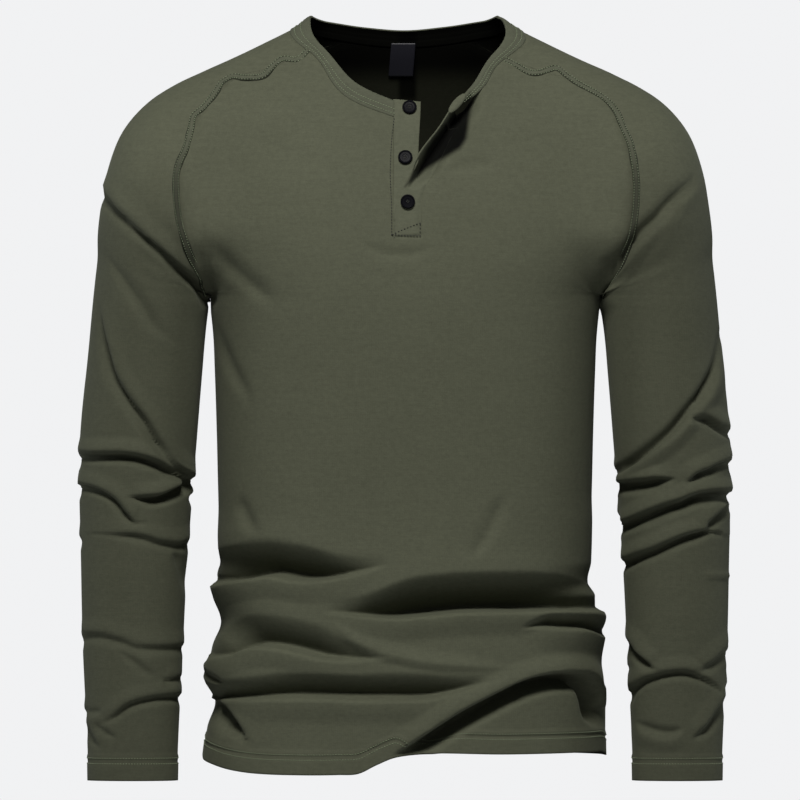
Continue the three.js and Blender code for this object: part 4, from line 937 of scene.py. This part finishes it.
def front_grid():
    start = FRONT_COLUMNS["left"]
    end = start + SLOT["columns"]
    columns = end + FRONT_COLUMNS["right"]

    def up(turn):
        return turn + TURN if turn < math.pi - 0.5 else turn

    def slot_side(x, top_turn, line):
        """One side of the slot, which rises at one x to the placket's foot and then along a line"""
        pairs = []
        for row in range(UPPER_ROWS + 1):
            share = (row - SLOT["rows"]) / (UPPER_ROWS - SLOT["rows"])
            spot = line(share) if share > 0 else (x, mix(ARMPIT_Z, SLOT["foot_z"], row / SLOT["rows"]))
            pairs.append((up(top_turn if share == 1 else turn_at(*spot)[0]), spot[1]))
        return listed(pairs)

    top_left, top_right = neck_seam(0)[0], neck_seam(NECK_ROWS)[0]
    left_slot = slot_side(SLOT["left_x"], top_left[0],
                          lambda t: (SLOT["left_x"], mix(SLOT["foot_z"], top_left[1], t)))
    right_slot = slot_side(SLOT["right_x"], top_right[0], lambda t: share_along(FLAP_SEAM, t)[0])

    def neck_top(a, b):
        def at(u):
            turn, z = neck_seam(mix(a, b, u))[0]
            return np.array([up(turn), z])
        return at

    def level(a, b):
        return lambda u: np.array([mix(a, b, u), ARMPIT_Z])

    left = patch(level(math.pi, left_slot(0)[0]), neck_top(FRONT_MARK[-1], 0),
                 listed(turned(RAGLANS[-1, "front"], 1)), left_slot)
    right = patch(level(right_slot(0)[0], TURN), neck_top(NECK_ROWS, FRONT_MARK[1]),
                  right_slot, listed(turned(RAGLANS[1, "front"], 4)))
    spots = np.zeros((len(BODY_ROWS) + UPPER_ROWS + 1, columns + 1, 2))
    for row in range(UPPER_ROWS + 1):
        v = row / UPPER_ROWS
        for i in range(columns + 1):
            if i <= start:
                spot = left(i / start, v)
            elif i >= end:
                spot = right((i - end) / FRONT_COLUMNS["right"], v)
            else:
                spot = mix(left_slot(v), right_slot(v), (i - start) / SLOT["columns"])
            spots[len(BODY_ROWS) + row, i] = spot
    base = spots[len(BODY_ROWS), :, 0]
    x = body_points(base, BACK_HEM_Z)[0][:, 0]
    places = np.interp(x, HEM[:, 0], np.arange(len(HEM)))
    drop = along(HEM[:, 1:], places)[:, 0] - BACK_HEM_Z
    drop[[0, -1]] = 0
    for j, z in enumerate(BODY_ROWS):
        spots[j, :, 0] = base
        spots[j, :, 1] = z + drop * (1 - smooth(0, 6, j))
    return panel_grid(spots, "front", (-1, 1))


# the rows of stitches by their heights above the edge, and how far over the upper row the raised hem fades out
HEM_BAND = {"raise": 0.8, "groove": 1.1, "groove_wide": 1.5, "fade": (1, 4), "body": (13.5, 18.5),
            "cuff": (15.5, 20.5)}


def hem_band(points, ways, rows):
    """Raises the turned hem a little over the cloth, with a groove between its two rows of stitches"""
    height = lengths(points)
    lift = HEM_BAND["raise"] * (1 - smooth(*HEM_BAND["fade"], height - rows[1]))
    lift = lift - HEM_BAND["groove"] * np.exp(-(((height - sum(rows) / 2) / HEM_BAND["groove_wide"]) ** 2))
    return points + ways * lift[..., None]


def panel_object(name, points, ways, own, hem, seams, size, flap=0.0, drop=None):
    """A panel with its folds, its turned hem and its two raglan edges. Gives the piece and its hem's stitch rows"""
    shaped = hem_band(draped(points, ways, own, flap), ways, HEM_BAND[hem])
    for column, seam in zip((0, -1), seams):
        shaped = meet(shaped, column, *seam)
    piece = sheet_object(name, shaped, ways, jersey, size=size, drop=drop)
    return piece, [line_above(shaped, ways, row) for row in HEM_BAND[hem]]


points, ways = finer(*front_grid(), FINER, FINER)
slot_start = FRONT_COLUMNS["left"] * FINER
slot_end = slot_start + SLOT["columns"] * FINER
slot_row = (len(BODY_ROWS) + SLOT["rows"]) * FINER
on_flap = np.where(np.arange(points.shape[1]) >= slot_end, 1.0, 0.0)[None, :]
front, hem_rows = panel_object("front_panel", points, ways, "body", "body", ((-1, "front"), (1, "front")),
                               (0.5, 0.69), on_flap,
                               lambda i, j: slot_start <= i < slot_end and j >= slot_row)
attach(front, "root")
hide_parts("front")
stitches = stitch_object("front_hem_stitches", hem_rows)

# Back: one panel from the hem to the neck seam
BACK_COLUMNS = 16
BACK_FINER = 8


def back_grid():
    def neck_top(u):
        return neck_seam(mix(BACK_MARK[1], BACK_MARK[-1], u))[0]

    place = patch(lambda u: np.array([math.pi * u, ARMPIT_Z]), neck_top,
                  listed(turned(RAGLANS[1, "back"], -0.1)), listed(turned(RAGLANS[-1, "back"], 1)))
    rows = len(BODY_ROWS)
    spots = np.zeros((rows + UPPER_ROWS + 1, BACK_COLUMNS + 1, 2))
    for i in range(BACK_COLUMNS + 1):
        spots[:rows, i, 0] = math.pi * i / BACK_COLUMNS
        spots[:rows, i, 1] = BODY_ROWS
        for row in range(UPPER_ROWS + 1):
            spots[rows + row, i] = place(i / BACK_COLUMNS, row / UPPER_ROWS)
    return panel_grid(spots, "back", (1, -1))


back, hem_rows = panel_object("back_panel", *finer(*back_grid(), FINER, BACK_FINER), "body", "body",
                              ((1, "back"), (-1, "back")), (0.5, 0.66))
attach(back, "root")
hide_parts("back")
stitches = stitch_object("back_hem_stitches", hem_rows)

# Sleeves: each a tube up to the underarm, then open between its two raglan seams up to the neck
SLEEVE_ROWS = [-686, -676, -662, -648, -636, -624, -612, -598, -584, -572, -560, -546, -528, -508, -490, -478,
               -466, -456, -446, -436, -426, -416, -406, -396, -384, -370, -354, -336, -316, -294, -272]
SLEEVE_COLUMNS = 16
SLEEVE_FINER = 9
LEAN_FADE = 3
# the part of the sleeve's middle beside its upper rows, counted in rows of SLEEVE from the underarm to the neck,
# and the share of it to each side that gives its run
SPAN = {"from": 6 - 3 / 49, "to": 1.35, "near": 0.05}


def sleeve_grid(side):
    mirror = np.array([side, 1, 1])
    turns = np.linspace(-math.pi, math.pi, SLEEVE_COLUMNS + 1)
    middles = SLEEVE[5:]

    def middle(v):
        return along(SLEEVE[:, :3], mix(SPAN["from"], SPAN["to"], v))[0]

    def frame_at(v):
        a, b = middle(max(v - SPAN["near"], 0)), middle(min(v + SPAN["near"], 1))
        run = np.array([b[0] - a[0], 0, b[2] - a[2]])
        run /= np.linalg.norm(run)
        return middle(v), run, np.array([run[2], 0, -run[0]])

    def fan(point, v, half):
        """The turn of a point about the sleeve's middle, and how far its line leans along the sleeve"""
        here, run, out = frame_at(v)
        ray = point - here
        o, y = ray @ out, ray[1]
        turn = math.atan2(y, o)
        if half * turn < 0:
            turn += half * TURN
        return (turn, (ray @ run) / math.hypot(o, y))

    def ring(z):
        x, y = along(middles[:, :2], row_place(middles[:, 2], z))[0]
        aim = np.stack([np.cos(turns), np.sin(turns), 0 * turns], 1)
        return leave(sleeve_field, [[x, y, z]], aim)

    front, behind = RAGLANS[side, "front"] * mirror, RAGLANS[side, "back"] * mirror
    under = front[0]
    low_ring = ring(ARMPIT_Z)
    low_ring[[0, -1]] = under
    half = SLEEVE_COLUMNS / 2
    bottom = [fan(p, 0, 0 if abs(turns[i]) < 1 else (-1 if i < half else 1)) for i, p in enumerate(low_ring)]
    neck = neck_seam(np.linspace(FRONT_MARK[side], BACK_MARK[side], SLEEVE_COLUMNS + 1))
    neck_line = body_points(neck[:, 0], neck[:, 1])[0] * mirror
    top = [fan(p, 1, 0) for p in neck_line]
    steps = np.arange(UPPER_ROWS + 1) / UPPER_ROWS
    place = patch(listed(bottom), listed(top), listed([fan(p, v, -1) for p, v in zip(front, steps)]),
                  listed([fan(p, v, 1) for p, v in zip(behind, steps)]), (1, LEAN_FADE))
    rows = len(SLEEVE_ROWS)
    points = np.zeros((rows + UPPER_ROWS + 1, SLEEVE_COLUMNS + 1, 3))
    ways = np.zeros_like(points)
    for j, z in enumerate(SLEEVE_ROWS):
        points[j] = ring(z)
        ways[j] = outward(sleeve_field, points[j])
    for row, v in enumerate(steps):
        here, run, out = frame_at(v)
        field = sleeve_field if row == 0 else whole_field
        around = np.array([place(i / SLEEVE_COLUMNS, v) for i in range(SLEEVE_COLUMNS + 1)])
        aim = out * np.cos(around[:, :1]) + [[0, 1, 0]] * np.sin(around[:, :1]) + run * around[:, 1:]
        made = leave(field, here[None], aim)
        if row == UPPER_ROWS:
            made = neck_line
        if row > 0:
            made[0], made[-1] = front[row], behind[row]
        points[rows + row] = made
        ways[rows + row] = outward(field, made)
    points[rows, [0, -1]] = under
    ways[rows, [0, -1]] = (-1, 0, 0)
    return points * mirror, ways * mirror


for side, name in ((-1, "sleeve_right"), (1, "sleeve_left")):
    piece, hem_rows = panel_object(name + "_panel", *finer(*sleeve_grid(side), FINER, SLEEVE_FINER), "sleeve",
                                   "cuff", ((side, "front"), (side, "back")), (0.33, 0.72))
    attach(piece, "root")
    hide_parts(name)
    stitches = stitch_object(name + "_cuff_stitches", hem_rows)

# Raglan seams: the overlapped edges make a flat band, pinched by two rows of stitches
BAND = {"half": 3.4, "raise": 0.8, "edge": -0.4, "thick": 0.5, "across": 8, "step": 0.9, "row": 2.2,
        "path": (22, 2.2), "edges": (9, 0.4), "puckers": (4.5, 0.5)}
# x and z of the wavering front bands, from the neck down to the underarm
BAND_LINES = {
    -1: [(-87.3, -29), (-96.5, -37.4), (-110.3, -36.9), (-119.5, -44.3), (-128.7, -52.7), (-144, -53.8),
         (-154.7, -52.7), (-164.7, -58.1), (-170.1, -67.2), (-180.7, -80.3), (-189.9, -88.7), (-192.2, -100.8),
         (-196.7, -117.7), (-202.1, -130), (-205.2, -142.2), (-205.2, -157.5), (-204.3, -170.1), (-201.2, -188.1),
         (-193.5, -211.5), (-185.4, -227.7), (-181.3, -239.4), (-177.5, -249)],
    1: [(90, -37.8), (100.5, -43), (111, -49), (120, -49.5), (129, -46.8), (136.5, -45.3), (145.5, -52),
        (153, -57.3), (163.5, -63.3), (175.5, -70), (184.5, -77.6), (190.5, -85.8), (195.8, -99.3), (201.8, -112.8),
        (205.5, -130.8), (207.3, -147.3), (207.3, -163.8), (205.5, -181.8), (202.5, -198.3), (198, -211), (189, -229),
        (182, -241), (177.5, -249)],
}


def settled(points):
    """Moves points that lie close to the form onto it, and gives the way out there"""
    for _ in range(MARCH["settle"]):
        slope = slope_of(whole_field, points)
        points = points - slope * (whole_field(points) / (slope * slope).sum(1))[:, None]
    return points, unit(slope)


def waver(length, seed, period, amount):
    """Uneven waves along a seam"""
    rng = np.random.default_rng(seed)
    knots = rng.uniform(-1, 1, int(length[-1] / period) + 4)
    return along(knots[:, None], length / period + 1)[:, 0] * amount


def seam_frame(side, face, step):
    """Even points along a raglan seam on the form, with the ways across"""
    if face == "front":
        line = seen_points(*finely(BAND_LINES[side], 8).T)
    else:
        line = divided(np.stack([RAGLANS[side, face]] * 2, 1), 8)[6:, 0]
    points, length = evenly(line, step)
    points, ways = settled(points)
    across = np.cross(ways, unit(np.gradient(points, axis=0)))
    if face == "back":
        points = settled(points + across * waver(length, 30 + side, *BAND["path"])[:, None])[0]
    return points, across, length


def seam_band(side, face, seed):
    """The band's grid of points, with uneven edges and puckers along its rows of stitches"""
    points, across, length = seam_frame(side, face, BAND["step"])
    u = np.linspace(-1, 1, BAND["across"] + 1)
    wide = BAND["half"] + waver(length, seed, *BAND["edges"])
    spots = points[:, None] + across[:, None] * (u[None, :, None] * wide[:, None, None])
    flat, ways = settled(spots.reshape(-1, 3))
    pucker = 1 + waver(length, seed + 1, *BAND["puckers"])[:, None] * (1 - np.abs(u[None]) ** 4)
    height = mix(BAND["edge"], BAND["raise"], (1 - np.abs(u[None]) ** 5)) * pucker
    made = draped(flat, ways, "body", lift=height.ravel())
    return made.reshape(spots.shape), ways.reshape(spots.shape)


def seam_stitches(side, face):
    points, across, _ = seam_frame(side, face, STITCH["pitch"])
    for place in (-BAND["row"], BAND["row"]):
        flat, ways = settled(points + across * place)
        yield draped(flat, ways, "body", lift=BAND["raise"] - 0.1), ways


for side, name in ((-1, "right"), (1, "left")):
    for face in ("front", "back"):
        made, ways = seam_band(side, face, 10 + side + len(face))
        band = sheet_object(f"raglan_band_{face}_{name}", made, ways, jersey_band, (0.006, 0.33), BAND["thick"])
        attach(band, "root")
        stitch_object(f"raglan_stitches_{face}_{name}", list(seam_stitches(side, face)))

# Neck binding: a strip of the jersey folded over the neck's raw edge and stitched twice.
# Its grid starts a little below the seam, and it is puffed between grooves at its two rows of stitches
BINDING = {"across": 12, "columns": 420, "start": -0.1, "raise": 0.5, "puff": 1.0, "round": 0.8, "rows": (0.2, 0.47),
           "groove": 0.45, "groove_wide": 0.07, "thick": 2.2, "stitch_lift": 0.2}
places = np.linspace(0, NECK_ROWS, BINDING["columns"] + 1)
t = np.linspace(BINDING["start"], 1, BINDING["across"] + 1)[:, None]
points, ways = on_body(mix(neck_seam(places)[None], neck_edge(places)[None], t[..., None]))
puff = BINDING["raise"] + BINDING["puff"] * np.sin(np.pi * np.clip(t, 0, 1)) ** BINDING["round"]
for row in BINDING["rows"]:
    puff = puff - BINDING["groove"] * np.exp(-(((t - row) / BINDING["groove_wide"]) ** 2))
binding_points = draped(points, ways, "body", lift=puff)
binding = sheet_object("neck_binding_strip", binding_points, ways, jersey_trim, (0.56, 0.014), BINDING["thick"])
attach(binding, "root")
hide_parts("neck_binding")
both = np.concatenate([binding_points, ways], 2)
rows = [evenly(along(both, row * BINDING["across"])[0], STITCH["pitch"])[0] for row in BINDING["rows"]]
stitches = stitch_object("neck_stitches", [raised(row, BINDING["stitch_lift"]) for row in rows])

# Placket: the button stand, and over it the buttonhole strip that hangs open at the top.
# FLAP_EDGE is the strip's free edge, FLAP_TUCK how far its other edge goes past the seam, and LAP its lift over
# the stand. The stand reaches under the strip and widens near its top.
FLAP_EDGE = [(-10.8, -199.3), (-9.4, -178), (-4, -161), (2, -148), (12.5, -125), (30.5, -100.5), (41, -84)]
STAND = {"foot": -199.3, "top": -74, "right_top": -76.5, "left": -10.9, "right": 12, "under": 2, "widens": 2}
FLAP_TUCK = 2.6
PLACKET_CLOTH = 1.0
LAP = 1.3


def strip_grid(left, right, columns, rows):
    """A strip between two edges, as points, ways out, shares across and shares up"""
    t = np.linspace(0, 1, rows + 1)
    u = np.linspace(0, 1, columns + 1)[None, :, None]
    spots = mix(left(t)[:, None], right(t)[:, None], u)
    return (*seen_grid(spots[..., 0], spots[..., 1]), u[..., 0], t[:, None])


def stand_left(t):
    return np.stack([0 * t + STAND["left"], mix(STAND["foot"], STAND["top"], t)], 1)


def stand_right(t):
    z = mix(STAND["foot"], STAND["right_top"], t)
    edge = np.array(FLAP_EDGE)
    under = np.interp(z, edge[:, 1], edge[:, 0]) + STAND["under"]
    return np.stack([np.minimum(STAND["right"] + smooth(0.6, 1, t) * STAND["widens"], under), z], 1)


# the stand rises from its left edge, and its foot lies low
points, ways, u, t = strip_grid(stand_left, stand_right, 24, 120)
lift = mix(-0.3, 0.35, smooth(0, 0.14, u)) * mix(0.2, 1, smooth(0, 0.03, t))
stand_points = draped(points, ways, "body", lift=lift)
stand = sheet_object("button_stand", stand_points, ways, jersey_strip, (0.022, 0.124), PLACKET_CLOTH)
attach(stand, "root")
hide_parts("placket_under")


def flap_left(t):
    return share_along(FLAP_EDGE, t)


def flap_right(t):
    spots = share_along(FLAP_SEAM, t)
    return np.stack([spots[:, 0] + FLAP_TUCK, np.where(t == 0, STAND["foot"], spots[:, 1])], 1)


# the strip laps over the stand and goes down into the front at its right edge and its foot
points, ways, u, t = strip_grid(flap_left, flap_right, 28, 130)
lift = mix(LAP, -0.45, smooth(0.72, 1, u)) * mix(-0.25, 1, smooth(0, 0.07, np.maximum(u, smooth(0.1, 0.3, t))))
lift = mix(-0.4, lift, smooth(0, 0.035, t))
flap_points = draped(points, ways, "body", 1.0, lift)
flap = sheet_object("buttonhole_strip", flap_points, ways, jersey_strip, (0.025, 0.13), PLACKET_CLOTH)
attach(flap, "root")
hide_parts("placket_over")

# Placket stitches: a dark dotted row beside the stand, and the triangle across the foot. Each row has its lift
# and its corners in the front view
PLACKET_PITCH = 2.7
PLACKET_ROWS = [(0.35, [(-9.8, -92), (-12, -112), (-13.1, -134), (-13.1, -148), (-12, -172), (-12, -196)]),
                (LAP + 0.3, [(-11, -196), (0, -191), (13.4, -186)]), (LAP, [(-11, -196), (0, -197), (13.4, -197.3)]),
                (LAP - 0.1, [(13.6, -187), (13.5, -192), (13.4, -197)])]


def drawn_row(spots, lift):
    spots = along(spots, np.linspace(0, len(spots) - 1, 40))
    points, ways = body_points(turn_at(spots[:, 0], spots[:, 1]), spots[:, 1])
    row = evenly(np.concatenate([draped(points, ways, "body", lift=lift), ways], 1), PLACKET_PITCH)[0]
    return row[:, :3], row[:, 3:]


stitch_object("placket_stitches", [drawn_row(spots, lift) for lift, spots in PLACKET_ROWS], dark_thread, 0.5)


def seat(place, way, twist):
    """Lays a mesh at a place with its own z along the way out, turned about it by degrees"""
    facing = Vector(way).to_track_quat("Z", "Y").to_matrix().to_4x4()
    return Matrix.Translation(Vector(place) * MM) @ facing @ Matrix.Rotation(math.radians(twist), 4, "Z")


# The binding's loose end, turned out at the top of the open flap
BINDING_END = {"x": 46.4, "z": -78.8, "tilt": 50, "long": 12.5, "wide": 3.9, "thick": 2.2, "lift": 2.2}
bm = bmesh.new()
bmesh.ops.create_uvsphere(bm, u_segments=24, v_segments=16, radius=1)
bmesh.ops.scale(bm, vec=[BINDING_END[key] * MM for key in ("long", "wide", "thick")], verts=bm.verts)
mesh = finished(bm, "neck_binding_end")
mesh.shade_smooth()
mesh.materials.append(jersey_strip)
spot, way = body_points(turn_at(BINDING_END["x"], BINDING_END["z"]), BINDING_END["z"])
mesh.transform(seat(spot[0] + way[0] * BINDING_END["lift"], way[0], BINDING_END["tilt"]))
binding_end = linked("neck_binding_end", mesh)
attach(binding_end, "root")

# Buttons: glossy black resin with a raised rim and a dished middle, sewn on with black thread.
# Half of the outline from the middle of the back to the middle of the face, as radius and height
BUTTON_OUTLINE = [(0.001, 0), (5.7, 0), (6.3, 0.35), (6.5, 1.0), (6.45, 2.3), (6.1, 2.9), (5.7, 3.0), (5.2, 2.85),
                  (4.7, 2.2), (2.9, 2.15), (2.6, 1.85), (0.001, 1.8)]
THREADS = {"height": 2.1, "apart": 0.75, "half": 0.6, "radius": 0.42}
# node, x, z, lift over the folds, whether it sits on the flap, and turn in degrees
BUTTONS = [("button_top", 4, -82, 0.3, 0, 0), ("button_middle", 0.2, -127, 0.3, 0, 20),
           ("button_bottom", 2.4, -167, LAP + 0.3, 1, 50)]
resin, tree, shader = new_material("black_resin", {"Base Color": (0.006, 0.006, 0.008, 1),
                                                   "Specular IOR Level": 0.02})
smudge = noise(tree, object_place(tree), 400.0, 3.0)
tree.links.new((smudge * 0.12 + 0.22).socket, shader.inputs["Roughness"])


def button_mesh(name):
    bm = bmesh.new()
    verts = [bm.verts.new((r * MM, 0, z * MM)) for r, z in BUTTON_OUTLINE]
    edges = [bm.edges.new(pair) for pair in zip(verts, verts[1:])]
    bmesh.ops.spin(bm, geom=verts + edges, cent=(0, 0, 0), axis=(0, 0, 1), angle=TURN, steps=48, use_merge=True)
    bmesh.ops.remove_doubles(bm, verts=bm.verts, dist=WELD)
    bmesh.ops.recalc_face_normals(bm, faces=bm.faces)
    mesh = finished(bm, name)
    mesh.shade_smooth()
    mesh.set_sharp_from_angle(angle=math.radians(28))
    return mesh


sewn = []
for name, x, z, lift, on_flap, twist in BUTTONS:
    spot, way = body_points(turn_at(x, z), z)
    place = draped(spot, way, "body", on_flap, lift)[0]
    seated = seat(place, way[0], twist)
    mesh = button_mesh(name + "_disc")
    mesh.transform(seated)
    mesh.materials.append(resin)
    piece = linked(name + "_disc", mesh)
    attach(piece, "root")
    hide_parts(name)
    run, beside = (np.array(seated.col[k][:3]) for k in (0, 1))
    for side in (-1, 1):
        ends = place + way[0] * THREADS["height"] + np.outer([-THREADS["half"], THREADS["half"]], run)
        sewn.append((ends + beside * side * THREADS["apart"], np.repeat(way, 2, 0)))
stitch_object("button_threads", sewn, dark_thread, THREADS["radius"])

# Neck label: a small black woven loop inside the back of the neck, bare
LABEL = {"top_x": -1.4, "foot_x": -3.9, "width": 22.5, "top_z": -19.4, "foot_z": -48.6, "inset": 2.6,
         "thick": 0.6, "rows": 24, "columns": 18}
t = np.linspace(0, 1, LABEL["rows"] + 1)
u = np.linspace(-0.5, 0.5, LABEL["columns"] + 1)
xs = mix(LABEL["foot_x"], LABEL["top_x"], t)[:, None] + u[None] * LABEL["width"]
zs = np.broadcast_to(mix(LABEL["foot_z"], LABEL["top_z"], t)[:, None], xs.shape)
points, ways = seen_grid(xs, zs, "back")
label_points = points - ways * LABEL["inset"]
satin, tree, shader = new_material("label_satin", {"Base Color": (0.012, 0.012, 0.018, 1)})
weave = noise(tree, object_place(tree), 900.0, 2.0)
tree.links.new((weave * 0.2 + 0.4).socket, shader.inputs["Roughness"])
label = sheet_object("neck_label_loop", label_points, ways, satin, (0.0225, 0.03), LABEL["thick"], inside=satin)
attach(label, "root")
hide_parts("neck_label")
